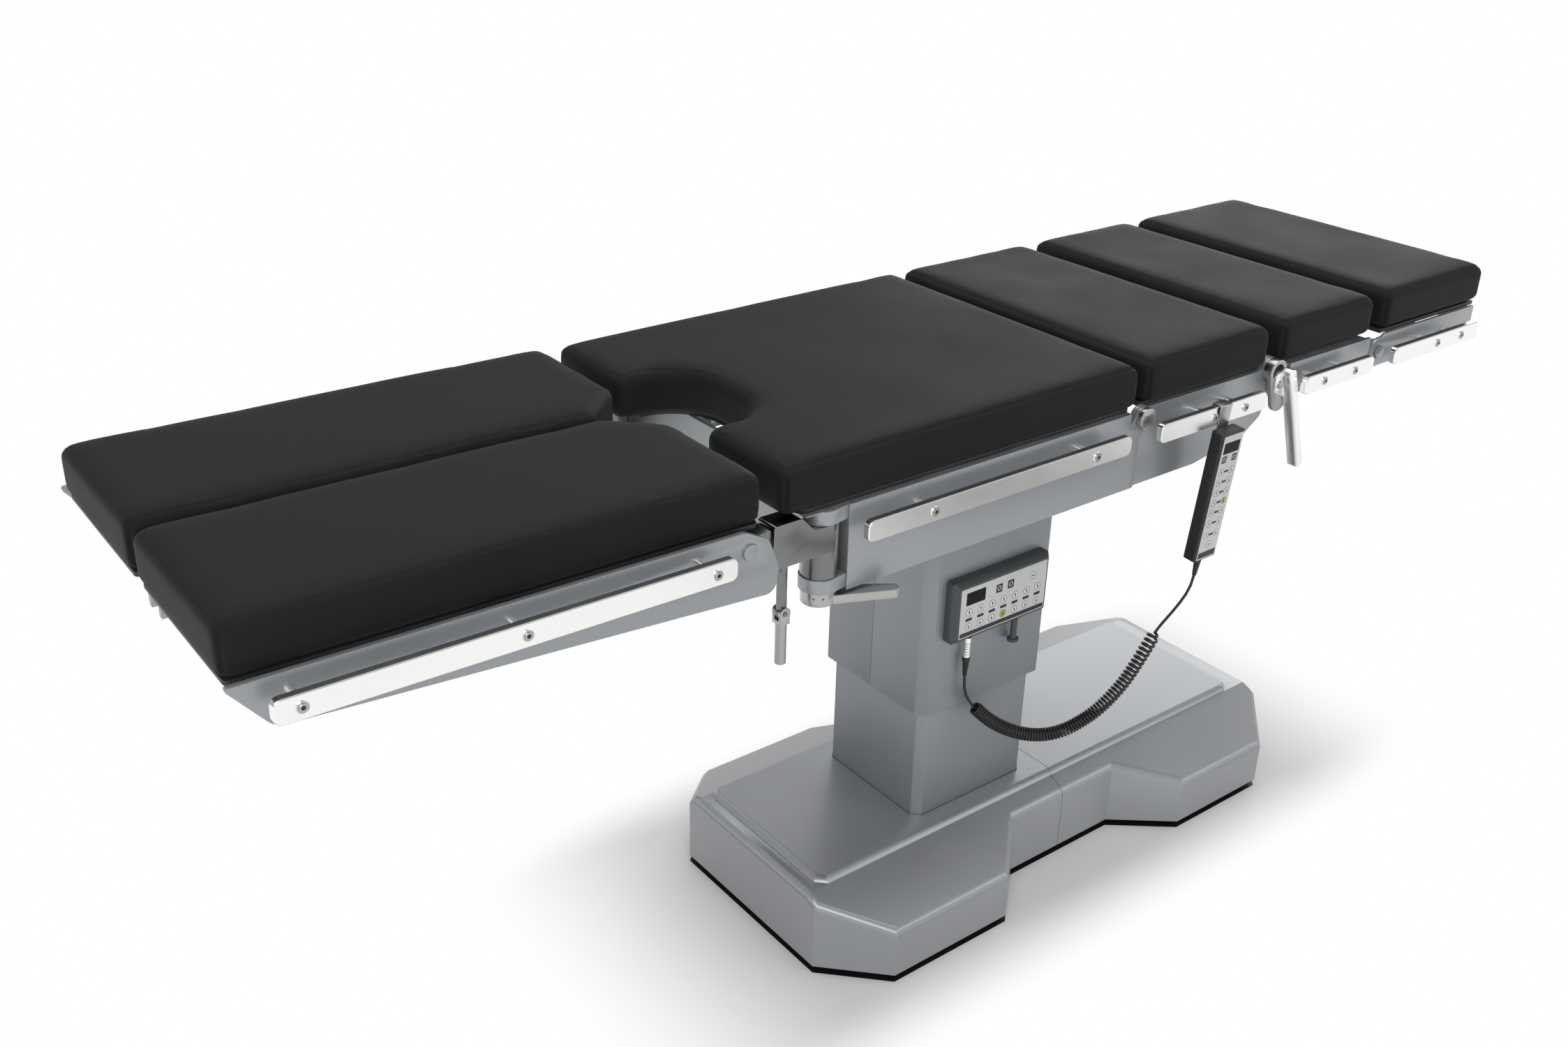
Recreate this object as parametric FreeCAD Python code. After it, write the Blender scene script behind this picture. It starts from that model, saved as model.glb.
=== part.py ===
import FreeCAD, Part
import math
import os
from FreeCAD import Vector

os.makedirs("parts", exist_ok=True)

# An operating table, in millimetres. +X is the head end, -Y the side with the control box,
# +Z up. The origin lies on the floor, under the middle of the base.

# fits and clearances
turning_fit = 0.06
sliding_fit = 0.05
seated_fit = 0.02
plate_gap = 0.3

# feet and chassis
pad_height = 10
pad_radius = 28
foot_stem_radius = 10
beam_floor_gap = 22
beam_height = 28
beam_width = 60
beam_end_gap = 127.8
foot_side_gap = 48.6
spine_height = 38
spine_side_gap = 60.6
spine_end_gap = 27.8

# base cover
base_length = 1015.6
base_width = 497.2
waist_width = 345.2
waist_leg_end = -112
waist_head_end = 118.5
shoulder_leg_end = -193.6
shoulder_head_end = 213.6
foot_chamfer_length = 86.2
foot_chamfer_width = 87.3
cover_floor_gap = 12
cover_side_height = 81
cover_bevel = 10
cover_slope_rise = 40.4
plateau_lip = 12
plateau_bevel = 8
plateau_width = 285.2
plateau_setback_leg = 24.2
plateau_setback_head = 49.1
plateau_chamfer = 14.4
cover_wall = 4
cover_seam = 1
column_opening_gap = 1

# telescopic column
column_x = -151
column_length = 233
column_width = 217.8
column_bevel = 13
column_wall = 6
column_height = 420
guide_wall_long = 9.5
guide_wall_wide = 7.1
guide_height = 30
shroud_wall = 3
shroud_rest_height = 337.7
shroud_height = 334.3
shroud_groove_width = 1.6
shroud_groove_depth = 0.8
ram_radius = 24
ram_length = 392
ram_tube_wall = 14
ram_tube_height = 380

# tilting head of the column
head_plate = 8
tilt_rise = 58
yoke_half_gap = 62
yoke_thickness = 16
yoke_radius = 22
yoke_foot = 68
trunnion_radius = 12
trunnion_end = 2
cross_block = 60
cross_height = 44
cross_collar_radius = 16

# sliding carriage and its guide rails
carriage_rise = 50
carriage_plate = 8
carriage_length = 220
carriage_width = 224
shoe_base = 4.95
shoe_wall = 6
shoe_length = 50
shoe_offset = 60
shoe_rise = 11
slide_travel = 280
guide_rail_width = 20
guide_rail_height = 14
guide_rail_offset = 95
guide_rail_spare = 4

# plates, boards and pads of the table top
table_half_width = 260
plate = 6
cross_bar_height = 10
cross_bar_width = 60
board = 6
board_setback = 10
board_gap = 2
pad_thickness = 60
pad_corner = 14
pad_edge = 8

# seat section
seat_end_x = -36
seat_length = 523
seat_depth = 116
seat_corner = 6
seat_notch_corner = 3
seat_pad_front_lap = 99.3
seat_pad_back_gap = 11.4
seat_board_setback = 31
seat_bar_offsets = (-364, -214, -64)
cutout_width = 200
cutout_length = 105.3
cutout_corner = 75

# hinge between the seat and the lower back
back_pivot_gap = 4.5
back_pivot_drop = 10.5
back_pin_radius = 12
back_pin_head = 8
back_pin_proud = 2
seat_lobe_radius = 15.5
seat_notch_width = 22
back_lobe_radius = 16

# lower back section
lower_back_depth = 117
lower_back_lap = 6.5
lower_back_flat = 134
lower_back_corner = 8
lower_back_bend = 60
lower_back_length = 287.5
lower_back_belly = (46, 18, 40)
lower_back_throat = (9, 42, 10)
lower_back_pad_gaps = (2.4, 15.7)
lower_back_bar_offsets = (73.5, 223.5)
mid_pivot_drop = 3
mid_lobe_radius = 19
mid_pin_radius = 10
hinge_plate = 6
hinge_stand = 2
hinge_eye_radius = 12.5
hinge_lobe_radius = 18
hinge_lobe_offset = 12
hinge_lobe_drop = 46

# release lever of the back hinge
lever_pin_radius = 4
lever_pin_offset = 3
lever_pin_drop = 19
lever_pin_head = 2
lever_head = 3.7
lever_head_radius = 7
lever_head_reach = 6
lever_head_rise = 12
lever_head_drop = 5
lever_shoulder = (12, 20, 5)
lever_thickness = 14.7
lever_width = 16
lever_length = 163
lever_lean = 19.8
lever_swing_out = 11

# upper back section
upper_back_depth = 52
upper_plate_gap = 39
upper_plate_length = 205
upper_back_pad_start_gap = 13.8
upper_back_pad_end_gap = 0.4
upper_back_bar_offsets = (91, 161)
hinge_arm_lap = 5
hinge_arm = 8
hinge_arm_reach = 94
hinge_arm_drop = 44

# head section
head_pivot_gap = 27
head_pivot_drop = 28.5
head_pin_radius = 9
head_lobe_radius = 24
head_tongue_radius = 18
head_tongue = 8
head_tongue_root = 55
head_pin_cap = 3
head_length = 265
head_depth = 52
head_pad_start_gap = 1.7
head_pad_end_lap = 13.1
head_bar_offsets = (73, 225)

# side rails
rail_height = 28.6
rail_thickness = 9.5
rail_standoff = 25
rail_drop = 25
rail_corner = 9
rail_edge = 1.2
spacer_radius = 5.5
rail_screw_radius = 4
rail_screw_head = 6.5
rail_screw_proud = 1.4
seat_rail_offsets = (2, 466, 108, 398)
lower_back_rail_offsets = (-0.5, 229.5, 112.1, 180.5)
upper_back_rail_offsets = (-4, 168, 42, 119)
head_rail_offsets = (-9, 228, 110, 178)

# hip bracket, leg arm and clamp lever
hip_offset = 26
hip_inset = 23
hip_lug_radius = 25.5
hip_lug_height = 19
hip_lug_rise = 4
hip_lug_gap = 2
hip_pin_radius = 10
hip_pin_fit = 0.05
hip_pin_end = 2
barrel_radius = 24
barrel_gap = 0.3
arm_width = 32
arm_outset = 1
arm_top_gap = 2
arm_depth = 57
arm_block_reach = 88
arm_shoulder_reach = 47
tongue_inset = 6
tongue_top_gap = 5
tongue_root = 4
tongue_radius = 16
clamp_radius = 22
clamp_boss_height = 18.8
clamp_boss_gap = 0.2
clamp_reach = 94
clamp_tip_radius = 8.5
clamp_blade = 12
clamp_angle = -28.5

# folding grip under the leg arm
grip_reach = 62
grip_y_inset = 15
grip_rod_radius = 6.5
grip_rod_length = 70
grip_eye_radius = 8
grip_eye_width = 8
grip_flat = 9.5
grip_pin_radius = 3
grip_cheek = 4
grip_cheek_drop = 10
grip_bridge = 5
grip_radius = 7
grip_length = 71

# leg sections
leg_pivot_reach = 128.5
leg_pivot_drop = 14.1
leg_rise = 0.8
leg_pin_radius = 10
leg_plate = 8
leg_plate_gap = 1
leg_plate_top = 26
leg_plate_toe = (45, 55, 24)
leg_plate_belly = (74, 58, 60)
leg_plate_heel = (38, 63, 15)
leg_plate_back = (42, 30, 22)
leg_plate_neck = (27, 9, 22)
leg_plate_brow = (6, 24)
leg_boss_radius = 16
leg_pin_proud = 2
leg_fork = 8
leg_fork_gap = 0.5
leg_fork_radius = 22
leg_fork_length = 86.5
leg_fork_depth = 18
leg_inner_member = 8
leg_inner_depth = 39
leg_inner_y = 12
leg_inner_end_gaps = (20, 10)
leg_board_rise = 4
leg_bar_height = 12
leg_bar_width = 50
leg_bar_offsets = (-76.5, -306.5, -541.5)
leg_frame_length = 601.5
leg_pad_length = 598.2
leg_pad_lap = 29.5
leg_pad_inset = 13
leg_pad_inner_y = 5.6
leg_pad_cut_y = 68
leg_pad_cut_length = 36.5
leg_rail_offsets = (-568.5, -41.5, -540.5, -304.5, -69.5)

# control box on the column
box_start_offset = -97
box_length = 195
box_bottom_rise = 123.3
box_height = 101.5
box_depth = 14
box_bezel_depth = 8
box_bezel = 7
box_corner = 6
panel_foil = 0.6
panel_margin = 3
socket_offset = 11
plug_offset = 41
plug_radius = 5.75
plug_length = 33
relief_root_radius = 6
relief_tip_radius = 3.2
relief_length = 34
cap_offset = 138
cap_stem_radius = 5
cap_stem_length = 33.5
cap_radius = 9
cap_thickness = 5

# hand control and its curly cord
handset_offset = 131
handset_width = 49
handset_thickness = 22
handset_length = 208
handset_drop = 45
handset_reach = 23.7
handset_swing = 4.77
handset_corner = 4
foil_border = 2
hook_width = 24
hook_strip = 2
hook_lap = 35
hook_rise = 32.5
hook_throat = 12.8
hook_return = 18.5
handset_lead_straight = 20
cord_diameter = 4.8
curl_diameter = 22.5
cord_bend_share = 0.45
box_lead_straight = 24
lead_bend_from_plug = (9.3, -3.8, -46.3)
curl_start_gap = 14
curl_bends_from_plug = (
    (32.9, -16.1, -77.5), (63.3, -31.8, -102.3), (102.3, -52.2, -119.3), (143.3, -73.4, -118.5))
curl_bends_from_handset = (
    (-123.5, 63.02, -238.85), (-97.4, 49.42, -209.65), (-69.4, 34.92, -163.25))
curl_end_from_handset = (-48.1, 23.82, -105.75)
curl_end_gap = 15
lead_bends_from_handset = ((-29.5, 14.62, -70.75), (-12.5, 7.62, -46.75))

# levels and places that follow from the sizes above
chassis_top = beam_floor_gap + spine_height
beam_reach = base_length / 2 - beam_end_gap
foot_reach = base_width / 2 - foot_side_gap
spine_width = waist_width - 2 * spine_side_gap
spine_length = base_length - 2 * spine_end_gap
column_top = chassis_top + column_height
shroud_half_long = column_length / 2 + guide_wall_long + shroud_wall
shroud_half_wide = column_width / 2 + guide_wall_wide + shroud_wall
shroud_top = shroud_rest_height + shroud_height
tilt_z = shroud_top + head_plate + tilt_rise
carriage_z = tilt_z + carriage_rise
guide_rail_z = carriage_z + carriage_plate + shoe_base + sliding_fit
cross_bar_z = guide_rail_z + guide_rail_height
frame_top = cross_bar_z + cross_bar_height
board_top = frame_top + board
plate_inner = table_half_width - plate
recessed_outer = plate_inner - plate_gap
recessed_inner = recessed_outer - plate
seat_start_x = seat_end_x - seat_length
seat_pad_start = seat_start_x - seat_pad_front_lap
seat_pad_end = seat_end_x - seat_pad_back_gap
back_pivot_x = seat_end_x + back_pivot_gap
back_pivot_z = frame_top - back_pivot_drop
mid_pivot_x = back_pivot_x + lower_back_length
mid_pivot_z = frame_top - mid_pivot_drop
upper_plate_start = mid_pivot_x + upper_plate_gap
upper_plate_end = upper_plate_start + upper_plate_length
head_pivot_x = upper_plate_end + head_pivot_gap
head_pivot_z = frame_top - head_pivot_drop
head_plate_end = head_pivot_x + head_length
hip_x = seat_start_x - hip_offset
hip_y = table_half_width - hip_inset
seat_floor_z = frame_top - seat_depth
lug_low_z = seat_floor_z + hip_lug_rise
arm_outer = table_half_width + arm_outset
arm_inner = arm_outer - arm_width
tongue_outer = arm_outer - tongue_inset
arm_block_start = hip_x - arm_block_reach
arm_shoulder_x = hip_x - arm_shoulder_reach
grip_x = hip_x - grip_reach
leg_pivot_x = hip_x - leg_pivot_reach
leg_pivot_z = frame_top - leg_pivot_drop
leg_frame_end = leg_pivot_x - leg_frame_length
leg_pad_start = leg_pivot_x - leg_pad_length
leg_pad_end = leg_pivot_x + leg_pad_lap
leg_pad_cut_x = leg_pivot_x - leg_pad_cut_length
leg_plate_inner = arm_outer + leg_plate_gap
leg_plate_outer = leg_plate_inner + leg_plate
leg_frame_top = frame_top + leg_board_rise
leg_board_top = leg_frame_top + board
rail_z = frame_top - rail_drop
hinge_face = table_half_width + hinge_stand
lever_y = hinge_face + hinge_plate + plate_gap
upper_inner = recessed_inner - plate_gap - hinge_arm - hinge_stand
box_start = column_x + box_start_offset
box_end = box_start + box_length
box_bottom = shroud_rest_height + box_bottom_rise
socket_y = -shroud_half_wide - socket_offset
plug_x = box_start + plug_offset
cap_x = box_start + cap_offset
handset_x = back_pivot_x + handset_offset
handset_top = frame_top - handset_drop
handset_front = -(table_half_width + rail_standoff + rail_thickness + handset_reach)

PLANES = {"xy": Vector(0, 0, 1), "xz": Vector(0, 1, 0), "yz": Vector(1, 0, 0)}


def in_plane(plane, u, v, level):
    """The point (u, v) of the plane xy, xz or yz, at a level along its third axis."""
    if plane == "xy":
        return Vector(u, v, level)
    if plane == "xz":
        return Vector(u, level, v)
    return Vector(level, u, v)


def corner_wire(corners, plane, level):
    """A closed wire through corners (u, v) or (u, v, radius)."""
    bends = []
    for index, corner in enumerate(corners):
        here = Vector(corner[0], corner[1], 0)
        if len(corner) < 3:
            bends.append((here, here, here))
            continue
        before = corners[index - 1]
        after = corners[(index + 1) % len(corners)]
        back = (Vector(before[0], before[1], 0) - here).normalize()
        forth = (Vector(after[0], after[1], 0) - here).normalize()
        half_angle = back.getAngle(forth) / 2
        reach = corner[2] / math.tan(half_angle)
        inward = (back + forth).normalize()
        middle = here + inward * (corner[2] / math.sin(half_angle) - corner[2])
        bends.append((here + back * reach, middle, here + forth * reach))
    edges = []
    for index, bend in enumerate(bends):
        start, middle, end = [in_plane(plane, p.x, p.y, level) for p in bend]
        if start.distanceToPoint(end) > 0.001:
            edges.append(Part.Arc(start, middle, end).toShape())
        following = bends[(index + 1) % len(bends)][0]
        following = in_plane(plane, following.x, following.y, level)
        if end.distanceToPoint(following) > 0.001:
            edges.append(Part.makeLine(end, following))
    return Part.Wire(edges)


def strap_wire(circles, plane, level):
    """A closed band drawn tight around circles (u, v, radius), given counter-clockwise."""
    angles = []
    for index, (u, v, radius) in enumerate(circles):
        next_u, next_v, next_radius = circles[(index + 1) % len(circles)]
        length = math.hypot(next_u - u, next_v - v)
        heading = math.atan2(next_v - v, next_u - u)
        angles.append(heading - math.pi / 2 + math.asin((radius - next_radius) / length))
    edges = []
    for index, (u, v, radius) in enumerate(circles):
        arriving = angles[index - 1]
        leaving = angles[index]
        turn = (leaving - arriving) % (2 * math.pi)

        def on_circle(angle):
            return in_plane(plane, u + radius * math.cos(angle), v + radius * math.sin(angle), level)

        if radius > 0:
            arc = Part.Arc(on_circle(arriving), on_circle(arriving + turn / 2), on_circle(leaving))
            edges.append(arc.toShape())
        next_u, next_v, next_radius = circles[(index + 1) % len(circles)]
        touch = in_plane(plane, next_u + next_radius * math.cos(leaving),
                         next_v + next_radius * math.sin(leaving), level)
        edges.append(Part.makeLine(on_circle(leaving), touch))
    return Part.Wire(edges)


def slab(wire, plane, depth):
    return Part.Face(wire).extrude(PLANES[plane] * depth)


def cut_plate(corners, plane, level, depth):
    return slab(corner_wire(corners, plane, level), plane, depth)


def strap(circles, plane, level, depth):
    return slab(strap_wire(circles, plane, level), plane, depth)


def rod(u, v, radius, plane, level, depth):
    return Part.makeCylinder(radius, depth, in_plane(plane, u, v, level), PLANES[plane])


def cone(u, v, low_radius, high_radius, plane, level, depth):
    return Part.makeCone(low_radius, high_radius, depth, in_plane(plane, u, v, level), PLANES[plane])


def block(x, y, z):
    """A box between the low and high values of each pair."""
    corner = Vector(x[0], y[0], z[0])
    return Part.makeBox(x[1] - x[0], y[1] - y[0], z[1] - z[0], corner)


def joined(solids):
    return solids[0].multiFuse(solids[1:]).removeSplitter()


def far_side(shape):
    return shape.mirror(Vector(0, 0, 0), Vector(0, 1, 0))


def both_sides(solids):
    return solids + [far_side(solid) for solid in solids]


def horizontal_edges(solid, levels):
    found = []
    for edge in solid.Edges:
        box = edge.BoundBox
        if box.ZLength < 0.001 and min(abs(box.ZMin - level) for level in levels) < 0.001:
            found.append(edge)
    return found


def export(name, solids):
    shape = solids[0] if len(solids) == 1 else Part.makeCompound(solids)
    shape.exportStep("parts/" + name + ".step")


# base
def inset_outline(corners, inset):
    """A counter-clockwise outline with each of its sides moved inwards."""
    moved = []
    for index, (x, y) in enumerate(corners):
        normals = []
        for start, end in ((corners[index - 1], (x, y)), ((x, y), corners[(index + 1) % len(corners)])):
            length = math.hypot(end[0] - start[0], end[1] - start[1])
            normals.append(((start[1] - end[1]) / length, (end[0] - start[0]) / length))
        spread = 1 + normals[0][0] * normals[1][0] + normals[0][1] * normals[1][1]
        moved.append((x + inset * (normals[0][0] + normals[1][0]) / spread,
                      y + inset * (normals[0][1] + normals[1][1]) / spread))
    return moved


def closed_outline(near_side):
    """The near side's corners and their mirror images, counter-clockwise."""
    return near_side + [(x, -y) for x, y in reversed(near_side)]


def base_outline():
    half = base_length / 2
    side = base_width / 2
    waist = waist_width / 2
    return closed_outline([
        (-half, foot_chamfer_width - side), (foot_chamfer_length - half, -side),
        (shoulder_leg_end, -side), (waist_leg_end, -waist),
        (waist_head_end, -waist), (shoulder_head_end, -side),
        (half - foot_chamfer_length, -side), (half, foot_chamfer_width - side)])


def plateau_outline():
    start = plateau_setback_leg - base_length / 2
    end = base_length / 2 - plateau_setback_head
    side = plateau_width / 2
    depth = plateau_chamfer * foot_chamfer_width / foot_chamfer_length
    return closed_outline([
        (start, depth - side), (start + plateau_chamfer, -side),
        (end - plateau_chamfer, -side), (end, depth - side)])


def slope_profile(side_top, slope_top):
    """The cover's section: a slope up each side to the edge of the plateau."""
    side = base_width / 2
    crest = plateau_width / 2
    outside = side + cover_bevel
    foot = side_top - cover_bevel * (slope_top - side_top) / (side - crest)
    return [(-outside, 0), (outside, 0), (outside, foot), (crest, slope_top), (-crest, slope_top),
            (-outside, foot)]


def cover_form(wall):
    """The solid form of the base cover, or its inside for a given wall."""
    low = cover_floor_gap - wall
    side_top = cover_floor_gap + cover_side_height - wall
    slope_top = side_top + cover_slope_rise
    crest = plateau_width / 2
    body = cut_plate(inset_outline(base_outline(), wall), "xy", low, 2 * slope_top)
    body = body.common(cut_plate(slope_profile(side_top, slope_top), "yz", -base_length, 2 * base_length))
    rim = []
    for edge in body.Edges:
        box = edge.BoundBox
        crest_line = box.YLength < 0.001 and abs(abs(box.YMin) - crest) < 0.001
        if box.ZMin > side_top - 1 and not crest_line:
            rim.append(edge)
    body = body.makeChamfer(cover_bevel - wall / 2, rim)
    plateau_top = slope_top + plateau_lip
    plateau = cut_plate(inset_outline(plateau_outline(), wall), "xy", low, plateau_top - low)
    plateau = plateau.makeChamfer(plateau_bevel - wall / 2, horizontal_edges(plateau, [plateau_top]))
    return joined([body, plateau])


def column_outline(half_long, half_wide, bevel):
    outline = []
    for along, across, first in ((-1, -1, 1), (1, -1, 0), (1, 1, 1), (-1, 1, 0)):
        side = (column_x + along * half_long, across * (half_wide - bevel))
        end = (column_x + along * (half_long - bevel), across * half_wide)
        outline += [side, end] if first else [end, side]
    return outline


def column_prism(grow, level, height):
    """The column's bevelled outline, with each side moved outwards by grow."""
    outline = column_outline(column_length / 2, column_width / 2, column_bevel)
    return cut_plate(inset_outline(outline, -grow), "xy", level, height)


def shroud_prism(inset, level, height):
    outline = column_outline(shroud_half_long, shroud_half_wide, column_bevel + shroud_wall)
    return cut_plate(inset_outline(outline, inset), "xy", level, height)


def base_covers():
    shell = cover_form(0).cut(cover_form(cover_wall))
    top = cover_floor_gap + cover_side_height + cover_slope_rise + plateau_lip
    shell = shell.cut(column_prism(column_opening_gap, chassis_top, top))
    reach = base_length
    halves = []
    for start, end in ((-reach, -cover_seam / 2), (cover_seam / 2, reach)):
        halves.append(shell.common(block((start, end), (-reach, reach), (0, top))))
    return halves


def base_chassis():
    beam_end = base_width / 2 - cover_wall
    spine = block((-spine_length / 2, spine_length / 2), (-spine_width / 2, spine_width / 2),
                  (beam_floor_gap, chassis_top))
    solids = [spine]
    for centre in (-beam_reach, beam_reach):
        solids += both_sides([block((centre - beam_width / 2, centre + beam_width / 2),
                                    (-beam_end, -spine_width / 2),
                                    (beam_floor_gap, beam_floor_gap + beam_height))])
    return solids


def floor_feet():
    feet = []
    for x in (-beam_reach, beam_reach):
        rubber = rod(x, -foot_reach, pad_radius, "xy", 0, pad_height)
        stem = rod(x, -foot_reach, foot_stem_radius, "xy", pad_height, beam_floor_gap - pad_height)
        feet += both_sides([joined([rubber, stem])])
    return feet


# column
def lower_column():
    outer = column_prism(0, chassis_top, column_height)
    inner = column_prism(-column_wall, chassis_top, column_height - column_wall)
    passage = rod(column_x, 0, ram_radius + turning_fit, "xy", column_top - column_wall, column_wall)
    return [outer.cut(inner).cut(passage)]


def lift_ram_tube():
    tube = rod(column_x, 0, ram_radius + ram_tube_wall, "xy", chassis_top, ram_tube_height)
    bore = rod(column_x, 0, ram_radius + turning_fit, "xy", chassis_top + column_wall, ram_tube_height)
    return [tube.cut(bore)]


def lift_ram():
    return [rod(column_x, 0, ram_radius, "xy", shroud_top - ram_length, ram_length)]


def column_shroud():
    shell = shroud_prism(0, shroud_rest_height, shroud_height)
    shell = shell.cut(shroud_prism(shroud_wall, shroud_rest_height, shroud_height))
    face_x = column_x - shroud_half_long
    groove = block((face_x, face_x + shroud_groove_depth),
                   (-shroud_groove_width / 2, shroud_groove_width / 2),
                   (shroud_rest_height, shroud_top))
    return [shell.cut(groove)]


def column_guide():
    ring = shroud_prism(shroud_wall, shroud_rest_height, guide_height)
    return [ring.cut(column_prism(turning_fit, shroud_rest_height, guide_height))]


def yoke_ears(plane, centre_u, centre_level, root):
    """Two ears that widen from their eyes to a foot at the height root, below or above."""
    half = yoke_foot / 2
    if root > tilt_z:
        half = -half
    ears = []
    for low in (-yoke_half_gap - yoke_thickness, yoke_half_gap):
        level = centre_level + low
        ear = strap([(centre_u - half, root, 0), (centre_u + half, root, 0), (centre_u, tilt_z, yoke_radius)],
                    plane, level, yoke_thickness)
        bore = rod(centre_u, tilt_z, trunnion_radius + turning_fit, plane, level, yoke_thickness)
        ears.append(ear.cut(bore))
    return ears


def column_head():
    plate_solid = shroud_prism(0, shroud_top, head_plate)
    return [plate_solid] + yoke_ears("xz", column_x, 0, shroud_top + head_plate)


def tilt_cross():
    half = cross_block / 2
    reach = yoke_half_gap + yoke_thickness + trunnion_end
    collar = yoke_half_gap - plate_gap
    low = tilt_z - cross_height / 2
    solids = [block((column_x - half, column_x + half), (-half, half), (low, low + cross_height))]
    solids.append(rod(column_x, tilt_z, trunnion_radius, "xz", -reach, 2 * reach))
    solids.append(rod(column_x, tilt_z, cross_collar_radius, "xz", -collar, 2 * collar))
    solids.append(rod(0, tilt_z, trunnion_radius, "yz", column_x - reach, 2 * reach))
    solids.append(rod(0, tilt_z, cross_collar_radius, "yz", column_x - collar, 2 * collar))
    return [joined(solids)]


# carriage that slides under the seat
def slide_carriage():
    top = carriage_z + carriage_plate
    solids = [block((column_x - carriage_length / 2, column_x + carriage_length / 2),
                    (-carriage_width / 2, carriage_width / 2), (carriage_z, top))]
    solids += yoke_ears("yz", 0, column_x, carriage_z)
    half_channel = guide_rail_width / 2 + sliding_fit
    half_shoe = half_channel + shoe_wall
    for side in (-guide_rail_offset, guide_rail_offset):
        for offset in (-shoe_offset, shoe_offset):
            centre = column_x + offset
            along = (centre - shoe_length / 2, centre + shoe_length / 2)
            shoe = block(along, (side - half_shoe, side + half_shoe), (top, top + shoe_base + shoe_rise))
            channel = block(along, (side - half_channel, side + half_channel),
                            (top + shoe_base, top + shoe_base + shoe_rise))
            solids.append(shoe.cut(channel))
    return solids


def cross_bars(start, offsets, half_width):
    half = cross_bar_width / 2
    bars = []
    for offset in offsets:
        centre = start + offset
        bars.append(block((centre - half, centre + half), (-half_width, half_width),
                          (cross_bar_z, frame_top)))
    return bars


# seat section
def seat_side_plate():
    """A deep plate with a hinge lobe at its head end, behind a notch."""
    notch_x = seat_end_x - seat_notch_width
    notch_z = back_pivot_z - seat_lobe_radius
    body = cut_plate([(seat_start_x, seat_floor_z), (seat_end_x, seat_floor_z, seat_corner),
                      (seat_end_x, notch_z), (notch_x, notch_z, seat_notch_corner),
                      (notch_x, frame_top), (seat_start_x, frame_top)],
                     "xz", -table_half_width, plate)
    lug = strap([(notch_x - plate, notch_z, 0),
                 (seat_end_x - plate / 2, back_pivot_z - 2 * seat_lobe_radius, 2),
                 (back_pivot_x, back_pivot_z, seat_lobe_radius)], "xz", -table_half_width, plate)
    bore = rod(back_pivot_x, back_pivot_z, back_pin_radius + seated_fit, "xz", -table_half_width, plate)
    return joined([body, lug]).cut(bore)


def guide_rails():
    start = column_x - slide_travel - shoe_offset - shoe_length / 2 - guide_rail_spare
    end = column_x + shoe_offset + shoe_length / 2 + guide_rail_spare
    half = guide_rail_width / 2
    return both_sides([block((start, end), (-guide_rail_offset - half, half - guide_rail_offset),
                             (guide_rail_z, cross_bar_z))])


def seat_frame():
    end_plate = block((seat_start_x, seat_start_x + plate), (-plate_inner, plate_inner),
                      (seat_floor_z, frame_top))
    bars = cross_bars(seat_end_x, seat_bar_offsets, plate_inner)
    return both_sides([seat_side_plate()]) + [end_plate] + bars + guide_rails()


def hip_lug(level):
    """One of the two lugs that hold the leg arm's barrel."""
    lug = strap([(seat_start_x, hip_lug_gap - table_half_width, 0),
                 (seat_start_x, 2 * hip_lug_radius - hip_y - plate, 0),
                 (hip_x, -hip_y, hip_lug_radius)], "xy", level, hip_lug_height)
    return lug.cut(rod(hip_x, -hip_y, hip_pin_radius + seated_fit, "xy", level, hip_lug_height))


def hip_brackets():
    low_end = lug_low_z - clamp_boss_gap - clamp_boss_height - hip_pin_end
    pin = rod(hip_x, -hip_y, hip_pin_radius, "xy", low_end, frame_top - low_end)
    return both_sides([hip_lug(frame_top - hip_lug_height), hip_lug(lug_low_z), pin])


def back_pivot_pins():
    """Pins with a wide head, through the seat plates and the lower back's plates."""
    head_face = -table_half_width - back_pin_head
    head = rod(back_pivot_x, back_pivot_z, seat_lobe_radius, "xz", head_face, back_pin_head)
    pin = rod(back_pivot_x, back_pivot_z, back_pin_radius, "xz", -table_half_width,
              table_half_width - recessed_inner + back_pin_proud)
    return both_sides([joined([head, pin])])


def seat_top_outline(start, end, setback):
    """The outline of the seat's pad or board, with the round cut-out between the legs."""
    side = table_half_width - setback
    half_cut = cutout_width / 2 + setback
    depth = seat_pad_start + cutout_length + setback
    return [(start, -side, pad_corner), (end, -side, pad_corner / 2), (end, side, pad_corner / 2),
            (start, side, pad_corner), (start, half_cut, pad_corner), (depth, half_cut, cutout_corner),
            (depth, -half_cut, cutout_corner), (start, -half_cut, pad_corner)]


def top_board(corners, level):
    return [cut_plate(corners, "xy", level, board)]


def pad(corners, level):
    """A padded cushion with bevelled edges above and below."""
    body = cut_plate(corners, "xy", level, pad_thickness)
    return [body.makeChamfer(pad_edge, horizontal_edges(body, (level, level + pad_thickness)))]


def straight_pad(start, end):
    side = table_half_width
    return pad([(start, -side, pad_corner), (end, -side, pad_corner), (end, side, pad_corner),
                (start, side, pad_corner)], board_top)


def straight_board(start, end, side):
    return top_board([(start, -side), (end, -side), (end, side), (start, side)], frame_top)


# side rails
def rail_bolt(x, centre_z, plate_y, outer_y):
    """A spacer between plate and rail, with the screw that holds the rail."""
    spacer = rod(x, centre_z, spacer_radius, "xz", -outer_y, outer_y - plate_y)
    shank = rod(x, centre_z, rail_screw_radius, "xz", -outer_y - rail_thickness, rail_thickness)
    head_face = -outer_y - rail_thickness - rail_screw_proud
    head = rod(x, centre_z, rail_screw_head, "xz", head_face, rail_screw_proud)
    return joined([spacer, shank, head])


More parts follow.
